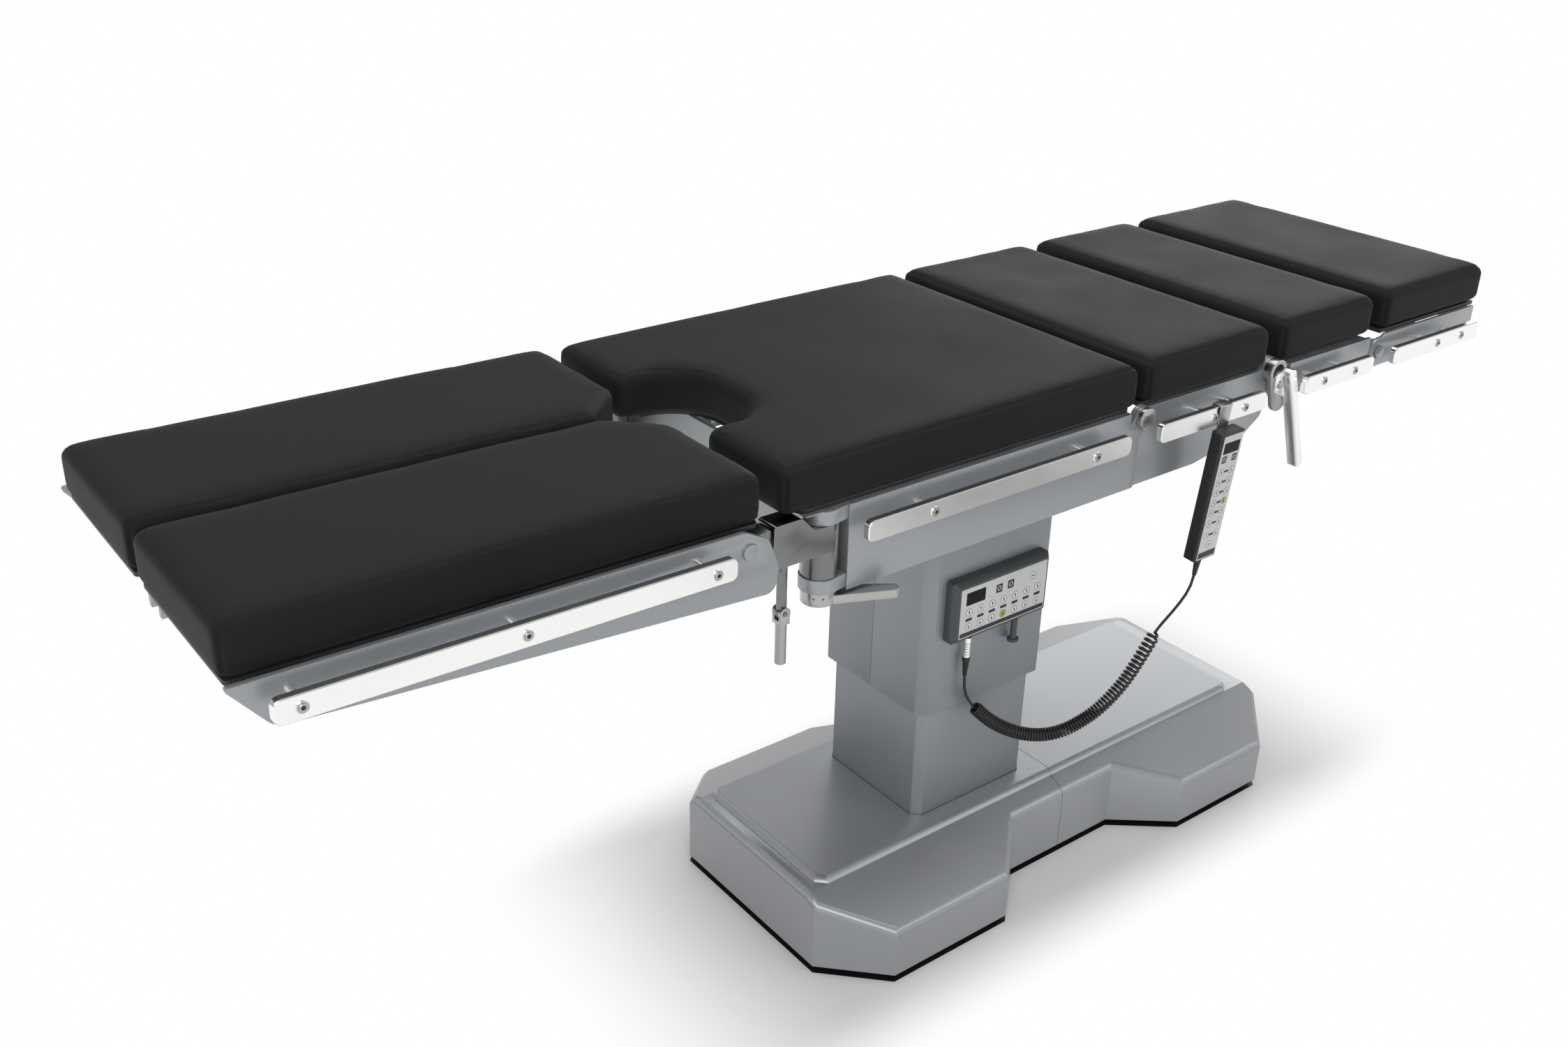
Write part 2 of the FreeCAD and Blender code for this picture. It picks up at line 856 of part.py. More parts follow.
def side_rail(origin, offsets, centre_z, plate_y, inner_y=table_half_width + rail_standoff):
    """A rectangular accessory rail on its spacers, on the near side: its ends and its screws."""
    start = origin + offsets[0]
    end = origin + offsets[1]
    outer_y = inner_y + rail_thickness
    low = centre_z - rail_height / 2
    high = centre_z + rail_height / 2
    bar = cut_plate([(start, low, rail_corner), (end, low, rail_corner), (end, high, rail_corner),
                     (start, high, rail_corner)], "xz", -outer_y, rail_thickness)
    front = [edge for edge in bar.Edges if edge.BoundBox.YMax < 0.001 - outer_y]
    bar = bar.makeChamfer(rail_edge, front)
    solids = []
    for offset in offsets[2:]:
        x = origin + offset
        bar = bar.cut(rod(x, centre_z, rail_screw_radius + seated_fit, "xz", -outer_y, rail_thickness))
        solids.append(rail_bolt(x, centre_z, plate_y, inner_y))
    return [bar] + solids


# lower back section
def lower_back_plate():
    """A deep plate, tapered to the hinge with the upper back, with a round lobe at each hinge."""
    low = frame_top - lower_back_depth
    belly, belly_rise, belly_bend = lower_back_belly
    throat, throat_rise, throat_bend = lower_back_throat
    body = cut_plate([(back_pivot_x - lower_back_lap, low, lower_back_corner),
                      (back_pivot_x + lower_back_flat, low, lower_back_bend),
                      (mid_pivot_x - belly, low + belly_rise, belly_bend),
                      (mid_pivot_x - throat, low + throat_rise, throat_bend),
                      (mid_pivot_x + mid_lobe_radius - 2, mid_pivot_z - plate), (mid_pivot_x, frame_top),
                      (back_pivot_x, frame_top),
                      (back_pivot_x - lower_back_lap, back_pivot_z - back_lobe_radius)],
                     "xz", -recessed_outer, plate)
    side = joined([body, rod(back_pivot_x, back_pivot_z, back_lobe_radius, "xz", -recessed_outer, plate),
                   rod(mid_pivot_x, mid_pivot_z, mid_lobe_radius, "xz", -recessed_outer, plate)])
    side = side.cut(rod(back_pivot_x, back_pivot_z, back_pin_radius + turning_fit, "xz", -recessed_outer, plate))
    return side.cut(rod(mid_pivot_x, mid_pivot_z, mid_pin_radius + seated_fit, "xz", -recessed_outer, plate))


def lower_back_frame():
    bars = cross_bars(back_pivot_x, lower_back_bar_offsets, recessed_inner)
    return both_sides([lower_back_plate()]) + bars


def lower_back_hinges():
    """A pear-shaped plate with an open eye, its hub and pin, and the release lever's stud."""
    pear = strap([(mid_pivot_x + hinge_lobe_offset, mid_pivot_z - hinge_lobe_drop, hinge_lobe_radius),
                  (mid_pivot_x, mid_pivot_z, mid_lobe_radius)], "xz", -hinge_face - hinge_plate, hinge_plate)
    eye = rod(mid_pivot_x, mid_pivot_z, hinge_eye_radius, "xz", -hinge_face - hinge_plate, hinge_plate)
    hub = rod(mid_pivot_x, mid_pivot_z, mid_lobe_radius, "xz", -hinge_face, hinge_face - recessed_outer)
    pin = rod(mid_pivot_x, mid_pivot_z, mid_pin_radius, "xz", -hinge_face, hinge_face - upper_inner)
    stud_x = mid_pivot_x + lever_pin_offset
    stud_z = mid_pivot_z - lever_pin_drop
    stud_end = lever_y + lever_head + plate_gap
    stud = rod(stud_x, stud_z, lever_pin_radius, "xz", -stud_end, stud_end - hinge_face)
    stud_head = rod(stud_x, stud_z, lever_pin_radius + lever_pin_head, "xz", -stud_end - lever_pin_head,
                    lever_pin_head)
    return both_sides([joined([pear.cut(eye), hub, pin, stud, stud_head])])


def back_lever():
    """The release lever: a thin head that turns on the stud, and a thick leaning blade."""
    stud_x = mid_pivot_x + lever_pin_offset
    stud_z = mid_pivot_z - lever_pin_drop
    lean = math.radians(lever_lean)
    top_x = stud_x + lever_swing_out
    top_z = stud_z + lever_pin_drop - 4
    foot_x = top_x + lever_length * math.sin(lean)
    foot_z = top_z - lever_length * math.cos(lean)
    half = lever_width / 2
    blade = strap([(foot_x, foot_z, half), (top_x + 1, top_z, half + 1)], "xz", -lever_y - lever_thickness,
                  lever_thickness)
    shoulder_x, shoulder_drop, shoulder_radius = lever_shoulder
    head_x = stud_x - lever_head_reach
    head = strap([(head_x, stud_z - lever_head_drop, lever_head_radius),
                  (top_x + shoulder_x, stud_z - shoulder_drop, shoulder_radius), (top_x, top_z, half + 1),
                  (head_x, stud_z + lever_head_rise, lever_head_radius)], "xz", -lever_y - lever_head, lever_head)
    relief = rod(stud_x, stud_z, lever_pin_radius + 4, "xz", -lever_y - lever_thickness,
                 lever_thickness - lever_head)
    bore = rod(stud_x, stud_z, lever_pin_radius + hip_pin_fit, "xz", -lever_y - lever_head, lever_head)
    return joined([blade.cut(relief), head]).cut(bore)


# upper back section
def hinge_arm_solid():
    """The arm that reaches the pin of the mid hinge, inside the lower back's plate."""
    outer = recessed_inner - plate_gap
    eye = rod(mid_pivot_x, mid_pivot_z, mid_lobe_radius, "xz", -outer, hinge_arm)
    neck_top = cross_bar_z - 0.5
    low = mid_pivot_z - hinge_arm_drop
    foot_x = upper_plate_start + hinge_arm_lap
    end_x = mid_pivot_x + hinge_arm_reach
    neck = cut_plate([(mid_pivot_x, mid_pivot_z - mid_lobe_radius + 1), (foot_x, low, plate),
                      (end_x, low), (end_x, neck_top), (mid_pivot_x, neck_top)], "xz", -outer, hinge_arm)
    foot = block((foot_x, end_x), (-plate_inner, -outer), (low, neck_top))
    bore = rod(mid_pivot_x, mid_pivot_z, mid_pin_radius + turning_fit, "xz", -outer, hinge_arm)
    return joined([eye, neck, foot]).cut(bore)


def head_tongue_solid():
    """The tongue that carries the head section, with its pin."""
    root_x = upper_plate_end - head_tongue_root
    tongue = strap([(root_x, head_pivot_z - head_tongue_radius, 0),
                    (head_pivot_x, head_pivot_z, head_tongue_radius),
                    (root_x, head_pivot_z + head_tongue_radius, 0)], "xz", -plate_inner, head_tongue)
    pin = rod(head_pivot_x, head_pivot_z, head_pin_radius, "xz", -table_half_width - plate_gap,
              table_half_width + plate_gap - plate_inner)
    cap = rod(head_pivot_x, head_pivot_z, head_pin_radius + head_pin_cap / 2, "xz",
              -table_half_width - plate_gap - head_pin_cap, head_pin_cap)
    return joined([tongue, pin, cap])


def upper_back_frame():
    low = frame_top - upper_back_depth
    side = cut_plate([(upper_plate_start, low, 5), (upper_plate_end, low), (upper_plate_end, frame_top),
                      (upper_plate_start, frame_top)], "xz", -table_half_width, plate)
    bars = cross_bars(upper_plate_start, upper_back_bar_offsets, plate_inner)
    return both_sides([side, hinge_arm_solid(), head_tongue_solid()]) + bars


# head section
def head_frame():
    low = frame_top - head_depth
    outer = table_half_width
    width = plate - plate_gap
    root_x = head_pivot_x + head_lobe_radius / 2
    side = joined([
        rod(head_pivot_x, head_pivot_z, head_lobe_radius, "xz", -outer, width),
        cut_plate([(head_pivot_x, low), (head_plate_end, low, 8), (head_plate_end, frame_top),
                   (root_x, frame_top), (head_pivot_x, head_pivot_z + head_lobe_radius - 4)],
                  "xz", -outer, width)])
    side = side.cut(rod(head_pivot_x, head_pivot_z, head_pin_radius + turning_fit, "xz", -outer, width))
    return both_sides([side]) + cross_bars(head_pivot_x, head_bar_offsets, outer - width)


# leg arm, its grip and the clamp lever
def leg_arm():
    """A cranked arm from the hip barrel to the tongue of the leg hinge."""
    top = frame_top + arm_top_gap
    floor = frame_top + arm_top_gap - arm_depth
    barrel_low = lug_low_z + hip_lug_height + barrel_gap
    barrel_high = frame_top - hip_lug_height - barrel_gap
    barrel = rod(hip_x, -hip_y, barrel_radius, "xy", barrel_low, barrel_high - barrel_low)
    body = cut_plate([(arm_block_start, floor, 8), (hip_x, floor), (hip_x, barrel_high),
                      (hip_x - barrel_radius - 3, barrel_high), (arm_shoulder_x, top, 10),
                      (arm_block_start, top, 4)], "xz", -arm_outer, arm_width)
    body = body.cut(rod(hip_x, -hip_y, barrel_radius, "xy", floor - 1, arm_depth + 2))
    body = body.cut(block((hip_x, hip_x + arm_width), (-arm_outer, -arm_inner), (floor - 1, top)))
    tongue = joined([
        rod(leg_pivot_x, leg_pivot_z, tongue_radius, "xz", -tongue_outer, tongue_outer - arm_inner),
        block((leg_pivot_x, arm_block_start + tongue_root), (-tongue_outer, -arm_inner),
              (leg_pivot_z - tongue_radius, frame_top - tongue_top_gap))])
    arm = joined([barrel, body, tongue])
    arm = arm.cut(rod(hip_x, -hip_y, hip_pin_radius + hip_pin_fit, "xy", barrel_low, barrel_high - barrel_low))
    arm = arm.cut(rod(leg_pivot_x, leg_pivot_z, leg_pin_radius + hip_pin_fit, "xz", -tongue_outer,
                      tongue_outer - arm_inner))
    eye_z = floor - grip_rod_length
    grip_y = arm_inner + grip_y_inset
    stem = rod(grip_x, -grip_y, grip_rod_radius, "xy", eye_z, grip_rod_length)
    eye = rod(grip_x, eye_z, grip_eye_radius, "xz", -grip_y - grip_eye_width / 2, grip_eye_width)
    reach = grip_eye_width / 2 + grip_cheek + plate_gap + 1
    pin = rod(grip_x, eye_z, grip_pin_radius, "xz", -grip_y - reach, 2 * reach)
    for low in (-grip_y - grip_eye_width / 2 - grip_flat, grip_eye_width / 2 - grip_y):
        stem = stem.cut(block((grip_x - grip_flat, grip_x + grip_flat), (low, low + grip_flat),
                              (eye_z - grip_flat, eye_z + grip_flat)))
    return [arm, joined([stem, eye, pin])]


def leg_handle():
    """A round grip with a forked top, hinged to the rod under the arm."""
    floor = frame_top + arm_top_gap - arm_depth
    eye_z = floor - grip_rod_length
    grip_y = arm_inner + grip_y_inset
    inner = grip_eye_width / 2 + plate_gap
    outer = inner + grip_cheek
    fork_z = eye_z - grip_cheek_drop
    solids = []
    for low in (-grip_y - outer, inner - grip_y):
        cheek = joined([rod(grip_x, eye_z, grip_eye_radius, "xz", low, grip_cheek),
                        block((grip_x - grip_radius, grip_x + grip_radius), (low, low + grip_cheek),
                              (fork_z, eye_z))])
        solids.append(cheek)
    solids.append(block((grip_x - grip_radius, grip_x + grip_radius), (-grip_y - outer, outer - grip_y),
                        (fork_z - grip_bridge, fork_z)))
    solids.append(rod(grip_x, -grip_y, grip_radius, "xy", eye_z - grip_length, grip_length - grip_cheek_drop))
    bore = rod(grip_x, eye_z, grip_pin_radius + hip_pin_fit, "xz", -grip_y - outer, 2 * outer)
    return joined(solids).cut(bore)


def clamp_lever():
    """The lever that locks the leg arm, on the hip pin under the lower lug."""
    top = lug_low_z - clamp_boss_gap
    low = top - clamp_boss_height
    angle = math.radians(clamp_angle)
    tip_x = hip_x + clamp_reach * math.cos(angle)
    tip_y = clamp_reach * math.sin(angle) - hip_y
    boss = rod(hip_x, -hip_y, clamp_radius, "xy", low, clamp_boss_height)
    blade = strap([(hip_x, -hip_y, clamp_radius - 6), (tip_x, tip_y, clamp_tip_radius)], "xy", low, clamp_blade)
    bore = rod(hip_x, -hip_y, hip_pin_radius + hip_pin_fit, "xy", low, clamp_boss_height)
    return joined([boss, blade]).cut(bore)


# leg sections
def raised(solids):
    """Legs lie slightly higher at the foot end, turned about the leg pivot."""
    turned = []
    for solid in solids:
        copy = solid.copy()
        copy.rotate(Vector(leg_pivot_x, 0, leg_pivot_z), Vector(0, 1, 0), leg_rise)
        turned.append(copy)
    return turned


def leg_outer_plate():
    """The leg's deep side plate, with a rounded foot and a heel under the hinge."""
    top = leg_pivot_z + leg_plate_top
    toe, toe_drop, toe_bend = leg_plate_toe
    belly, belly_drop, belly_bend = leg_plate_belly
    heel, heel_drop, heel_bend = leg_plate_heel
    back, back_drop, back_bend = leg_plate_back
    neck, neck_rise, neck_bend = leg_plate_neck
    brow, brow_bend = leg_plate_brow
    side = cut_plate([
        (leg_frame_end, top + 1, 3), (leg_frame_end + toe, top - toe_drop, toe_bend),
        (leg_pivot_x - belly, leg_pivot_z - belly_drop, belly_bend),
        (leg_pivot_x + heel, leg_pivot_z - heel_drop, heel_bend),
        (leg_pivot_x + back, leg_pivot_z - back_drop, back_bend),
        (leg_pivot_x + neck, leg_pivot_z + neck_rise, neck_bend), (leg_pivot_x - brow, top, brow_bend)],
        "xz", -leg_plate_outer, leg_plate)
    radius = leg_pin_radius + seated_fit
    return side.cut(rod(leg_pivot_x, leg_pivot_z, radius, "xz", -leg_plate_outer, leg_plate))


def leg_frame():
    boss_inner = tongue_outer + plate_gap
    boss = rod(leg_pivot_x, leg_pivot_z, leg_boss_radius, "xz", -leg_plate_inner, leg_plate_inner - boss_inner)
    boss = boss.cut(rod(leg_pivot_x, leg_pivot_z, leg_pin_radius + seated_fit, "xz", -leg_plate_inner,
                        leg_plate_inner - boss_inner))
    fork_outer = arm_inner - leg_fork_gap
    fork_end = leg_pivot_x - leg_fork_length
    bar_low = leg_frame_top - leg_bar_height
    fork = joined([
        rod(leg_pivot_x, leg_pivot_z, leg_fork_radius, "xz", -fork_outer, leg_fork).common(
            block((leg_pivot_x - 2 * leg_fork_radius, leg_pivot_x + 2 * leg_fork_radius), (-fork_outer, 0),
                  (0, bar_low))),
        cut_plate([(fork_end, bar_low - leg_fork_depth), (leg_pivot_x, leg_pivot_z - leg_fork_radius),
                   (leg_pivot_x, bar_low), (fork_end, bar_low)], "xz", -fork_outer, leg_fork)])
    fork = fork.cut(rod(leg_pivot_x, leg_pivot_z, leg_pin_radius + seated_fit, "xz", -fork_outer, leg_fork))
    pin_start = leg_plate_outer + leg_pin_proud
    pin_end = fork_outer - leg_fork - leg_pin_proud
    pin = rod(leg_pivot_x, leg_pivot_z, leg_pin_radius, "xz", -pin_start, pin_start - pin_end)
    member_outer = leg_inner_y + leg_inner_member
    foot_gap, hinge_gap = leg_inner_end_gaps
    member = block((leg_frame_end + foot_gap, leg_pad_cut_x - hinge_gap), (-member_outer, -leg_inner_y),
                   (leg_frame_top - leg_inner_depth, leg_frame_top))
    bars = []
    for offset in leg_bar_offsets:
        centre = leg_pivot_x + offset
        bars.append(block((centre - leg_bar_width / 2, centre + leg_bar_width / 2),
                          (-leg_plate_inner, -member_outer), (bar_low, leg_frame_top)))
    return raised([leg_outer_plate(), boss, fork, pin, member] + bars)


def leg_pad_outline(lap, corner):
    outer = leg_plate_outer - leg_pad_inset - lap
    inner = leg_pad_inner_y + lap
    return [(leg_pad_start + lap, -outer, corner), (leg_pad_end - lap, -outer, corner),
            (leg_pad_end - lap, -leg_pad_cut_y - lap / 2, corner), (leg_pad_cut_x - lap / 2, -inner, corner),
            (leg_pad_start + lap, -inner, corner)]


def leg_board():
    return raised(top_board(leg_pad_outline(board_setback / 2, pad_corner / 2), leg_frame_top))


def leg_cushion():
    return raised(pad(leg_pad_outline(0, pad_corner), leg_board_top))


def leg_rail_solids():
    return raised(side_rail(leg_pivot_x, leg_rail_offsets, leg_frame_top - leg_bar_height, leg_plate_outer,
                            leg_plate_outer + rail_standoff))


# control box with its plug and cap
def control_box():
    top = box_bottom + box_height
    back_y = -shroud_half_wide
    edge_y = back_y - box_depth
    front_y = edge_y - box_bezel_depth
    outline = [(box_start, box_bottom), (box_end, box_bottom), (box_end, top), (box_start, top)]
    body = cut_plate([corner + (box_corner,) for corner in outline], "xz", edge_y, box_depth)
    rims = []
    for level, inset in ((edge_y, 0), (front_y, box_bezel)):
        corners = [(x, z, box_corner - inset / 2) for x, z in inset_outline(outline, inset)]
        rims.append(corner_wire(corners, "xz", level))
    return [joined([body, Part.makeLoft(rims, True, True)])]


def control_panel():
    margin = box_bezel + panel_margin
    low = box_bottom + margin
    high = box_bottom + box_height - margin
    front = -shroud_half_wide - box_depth - box_bezel_depth
    corners = [(box_start + margin, low, 2), (box_end - margin, low, 2), (box_end - margin, high, 2),
               (box_start + margin, high, 2)]
    return [cut_plate(corners, "xz", front - panel_foil, panel_foil)]


def cord_plug():
    low = box_bottom - plug_length
    body = rod(plug_x, socket_y, plug_radius, "xy", low, plug_length)
    relief = cone(plug_x, socket_y, relief_tip_radius, relief_root_radius, "xy", low - relief_length,
                  relief_length)
    return [joined([body, relief])]


def socket_cap():
    low = box_bottom - cap_stem_length
    stem = rod(cap_x, socket_y, cap_stem_radius, "xy", low, cap_stem_length)
    return [joined([stem, rod(cap_x, socket_y, cap_radius, "xy", low - cap_thickness, cap_thickness)])]


# hand control
def hung(solid):
    """The hand control hangs with its lower end swung in, about its upper front edge."""
    copy = solid.copy()
    copy.rotate(Vector(0, handset_front, handset_top), Vector(1, 0, 0), handset_swing)
    return copy


def hung_point(x, y, z):
    return hung(Part.Vertex(x, y, z)).Point


def handset_body():
    start = handset_x - handset_width / 2
    low = handset_top - handset_length
    end = start + handset_width
    back = handset_front + handset_thickness
    body = cut_plate([(start, handset_front, handset_corner), (end, handset_front, handset_corner),
                      (end, back, handset_corner), (start, back, handset_corner)], "xy", low, handset_length)
    relief = cone(handset_x, handset_front + handset_thickness / 2, relief_tip_radius, relief_root_radius, "xy",
                  low - relief_length, relief_length)
    return [hung(joined([body, relief]))]


def handset_panel():
    start = handset_x - handset_width / 2 + foil_border + 2
    end = handset_x + handset_width / 2 - foil_border - 2
    low = handset_top - handset_length + foil_border
    high = handset_top - foil_border
    corners = [(start, low, 2), (end, low, 2), (end, high, 2), (start, high, 2)]
    return [hung(cut_plate(corners, "xz", handset_front - panel_foil, panel_foil))]


def handset_hook():
    """A bent strip behind the hand control, which hangs over the rail."""
    back = handset_front + handset_thickness
    inner = back + hook_strip
    far = inner + hook_throat
    top = handset_top + hook_rise
    strip = cut_plate([(back, handset_top - hook_lap), (inner, handset_top - hook_lap), (inner, top),
                       (far, top), (far, top - hook_return), (far + hook_strip, top - hook_return),
                       (far + hook_strip, top + hook_strip, 1.5), (back, top + hook_strip, 1.5)],
                      "yz", handset_x - hook_width / 2, hook_width)
    return [hung(strip)]


# curly cord between the box and the hand control
plug_end = Vector(plug_x, socket_y, box_bottom - plug_length - relief_length)
relief_y = handset_front + handset_thickness / 2
relief_low = handset_top - handset_length - relief_length
handset_end = hung_point(handset_x, relief_y, relief_low)
handset_straight = hung_point(handset_x, relief_y, relief_low - handset_lead_straight)
curl_bends = [plug_end + Vector(*bend) for bend in curl_bends_from_plug]
curl_bends += [handset_end + Vector(*bend) for bend in curl_bends_from_handset]
curl_end = handset_end + Vector(*curl_end_from_handset)
lead_drop = plug_end + Vector(0, 0, -box_lead_straight)
lead_bend = plug_end + Vector(*lead_bend_from_plug)
curl_start = lead_bend + (curl_bends[0] - lead_bend).normalize() * curl_start_gap
lead_start = curl_end + (curl_end - curl_bends[-1]).normalize() * curl_end_gap
box_lead_route = [plug_end, lead_drop, lead_bend, curl_start]
curl_route = [curl_start] + curl_bends + [curl_end]
handset_lead_route = [curl_end, lead_start]
handset_lead_route += [handset_end + Vector(*bend) for bend in lead_bends_from_handset]
handset_lead_route += [handset_straight, handset_end]


def cord_tube(name, route, diameter):
    """A round tube of straight runs and tangent arcs through the points of a route."""
    edges = []
    length = 0
    radii = []
    here = route[0]
    for index in range(1, len(route) - 1):
        corner = route[index]
        back = route[index - 1] - corner
        forth = route[index + 1] - corner
        half_turn = (math.pi - back.getAngle(forth)) / 2
        reach = cord_bend_share * min(back.Length, forth.Length)
        radius = reach / math.tan(half_turn)
        radii.append(round(radius, 1))
        back.normalize()
        forth.normalize()
        inward = (back + forth).normalize()
        middle = corner + inward * (radius / math.cos(half_turn) - radius)
        start = corner + back * reach
        end = corner + forth * reach
        edges.append(Part.LineSegment(here, start).toShape())
        edges.append(Part.Arc(start, middle, end).toShape())
        length += here.distanceToPoint(start) + radius * 2 * half_turn
        here = end
    edges.append(Part.LineSegment(here, route[-1]).toShape())
    length += here.distanceToPoint(route[-1])
    profile = Part.Wire(Part.makeCircle(diameter / 2, route[0], route[1] - route[0]))
    tube = Part.Wire(edges).makePipeShell([profile], True, False)
    section = math.pi * diameter ** 2 / 4
    share = round(tube.Volume / (section * length), 4)
    print(name, "length", round(length, 1), "radii", radii, "volume share", share)
    return [tube]


leg_cover, head_cover = base_covers()
export("floor_feet", floor_feet())
export("base_chassis", base_chassis())
export("base_cover_leg_end", [leg_cover])
export("base_cover_head_end", [head_cover])
export("lower_column", lower_column())
export("lift_ram_tube", lift_ram_tube())
export("lift_ram", lift_ram())
export("column_shroud", column_shroud())
export("column_guide", column_guide())
export("column_head", column_head())
export("tilt_cross", tilt_cross())
export("slide_carriage", slide_carriage())

export("seat_frame", seat_frame())
export("hip_brackets", hip_brackets())
export("back_pivot_pins", back_pivot_pins())
seat_board_outline = seat_top_outline(seat_pad_start + seat_board_setback, seat_pad_end - board_setback / 2,
                                      board_setback)
export("seat_board", top_board(seat_board_outline, frame_top))
export("seat_cushion", pad(seat_top_outline(seat_pad_start, seat_pad_end, 0), board_top))
export("seat_rails", both_sides(side_rail(seat_start_x, seat_rail_offsets, rail_z, table_half_width)))

export("lower_back_frame", lower_back_frame())
export("lower_back_hinges", lower_back_hinges())
lower_board_end = mid_pivot_x - mid_lobe_radius - board_gap
lower_board_start = back_pivot_x + board_gap
export("lower_back_board", straight_board(lower_board_start, lower_board_end, recessed_inner - board_gap))
export("lower_back_cushion", straight_pad(back_pivot_x + lower_back_pad_gaps[0],
                                          mid_pivot_x - lower_back_pad_gaps[1]))
export("lower_back_rails", both_sides(side_rail(back_pivot_x, lower_back_rail_offsets, rail_z, recessed_outer)))

export("upper_back_frame", upper_back_frame())
upper_pad_start = mid_pivot_x + upper_back_pad_start_gap
upper_pad_end = upper_plate_end - upper_back_pad_end_gap
export("upper_back_board", straight_board(upper_pad_start + board_gap, upper_pad_end - board_gap, upper_inner))
export("upper_back_cushion", straight_pad(upper_pad_start, upper_pad_end))
export("upper_back_rails", both_sides(side_rail(upper_plate_start, upper_back_rail_offsets, rail_z,
                                                table_half_width)))

export("head_frame", head_frame())
head_pad_start = head_pivot_x + head_pad_start_gap
head_pad_end = head_plate_end + head_pad_end_lap
export("head_board", straight_board(head_pad_start + board_gap, head_pad_end - board_setback, plate_inner))
export("head_cushion", straight_pad(head_pad_start, head_pad_end))
export("head_rails", both_sides(side_rail(head_pivot_x, head_rail_offsets, rail_z, table_half_width)))

for side_name, placed in (("near", lambda shape: shape), ("far", far_side)):
    export("back_lever_" + side_name, [placed(back_lever())])
    export("leg_arm_" + side_name, [placed(solid) for solid in leg_arm()])
    export("leg_handle_" + side_name, [placed(leg_handle())])
    export("clamp_lever_" + side_name, [placed(clamp_lever())])
    export("leg_frame_" + side_name, [placed(solid) for solid in leg_frame()])
    export("leg_board_" + side_name, [placed(solid) for solid in leg_board()])
    export("leg_cushion_" + side_name, [placed(solid) for solid in leg_cushion()])
    export("leg_rail_" + side_name, [placed(solid) for solid in leg_rail_solids()])

export("control_box", control_box())
export("control_panel", control_panel())
export("cord_plug", cord_plug())
export("socket_cap", socket_cap())
export("handset_body", handset_body())
export("handset_panel", handset_panel())
export("handset_hook", handset_hook())
export("cord_lead_box", cord_tube("box lead", box_lead_route, cord_diameter))
export("cord_curl", cord_tube("curl", curl_route, curl_diameter))
export("cord_lead_handset", cord_tube("handset lead", handset_lead_route, cord_diameter))
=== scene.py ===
import math
import bpy
import bmesh
from mathutils import Matrix, Vector
from mathutils.bvhtree import BVHTree


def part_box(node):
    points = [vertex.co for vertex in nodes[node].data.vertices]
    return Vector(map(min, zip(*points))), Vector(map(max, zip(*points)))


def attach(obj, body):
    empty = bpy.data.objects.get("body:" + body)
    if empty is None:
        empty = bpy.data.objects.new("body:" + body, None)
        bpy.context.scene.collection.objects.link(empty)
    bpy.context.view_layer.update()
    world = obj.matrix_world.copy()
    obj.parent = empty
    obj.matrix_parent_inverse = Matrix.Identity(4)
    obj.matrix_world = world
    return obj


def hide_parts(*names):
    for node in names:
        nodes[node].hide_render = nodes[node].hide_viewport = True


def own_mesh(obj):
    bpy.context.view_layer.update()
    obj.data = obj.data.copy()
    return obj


# An operating table, in metres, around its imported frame. +X is the head end, -Y the side with
# the control box, +Z up.
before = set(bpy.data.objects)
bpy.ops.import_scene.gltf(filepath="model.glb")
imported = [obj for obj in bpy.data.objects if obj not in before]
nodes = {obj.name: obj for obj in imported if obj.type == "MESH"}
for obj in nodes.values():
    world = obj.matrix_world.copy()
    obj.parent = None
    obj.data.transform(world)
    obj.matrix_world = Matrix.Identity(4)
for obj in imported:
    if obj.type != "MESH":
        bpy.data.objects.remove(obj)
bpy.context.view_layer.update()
MM = 0.001
NEAR = -1
FAR = 1
SIDES = (("near", NEAR), ("far", FAR))


# camera, floor and light
def aim_camera():
    yaw, pitch, roll = (math.radians(angle) for angle in (37.962, -26.247, 1.363))
    data = bpy.data.cameras.new("camera")
    data.sensor_width = 36
    data.lens = 35.86
    data.clip_end = 60
    camera = bpy.data.objects.new("camera", data)
    bpy.context.scene.collection.objects.link(camera)
    ahead = Vector((math.sin(yaw) * math.cos(pitch), math.cos(yaw) * math.cos(pitch), math.sin(pitch)))
    level = ahead.cross(Vector((0, 0, 1))).normalized()
    upright = level.cross(ahead)
    right = level * math.cos(roll) + upright * math.sin(roll)
    top = upright * math.cos(roll) - level * math.sin(roll)
    turn = Matrix((right, top, -ahead)).transposed().to_4x4()
    camera.matrix_world = Matrix.Translation((-1.6552, -1.5377, 1.6271)) @ turn
    bpy.context.scene.camera = camera


def lamp(name, place, target, size, power):
    data = bpy.data.lights.new(name, "AREA")
    data.shape = "RECTANGLE"
    data.size, data.size_y = size
    data.energy = power
    made = bpy.data.objects.new(name, data)
    bpy.context.scene.collection.objects.link(made)
    aim = (Vector(target) - Vector(place)).to_track_quat("-Z", "Y").to_matrix().to_4x4()
    made.matrix_world = Matrix.Translation(place) @ aim


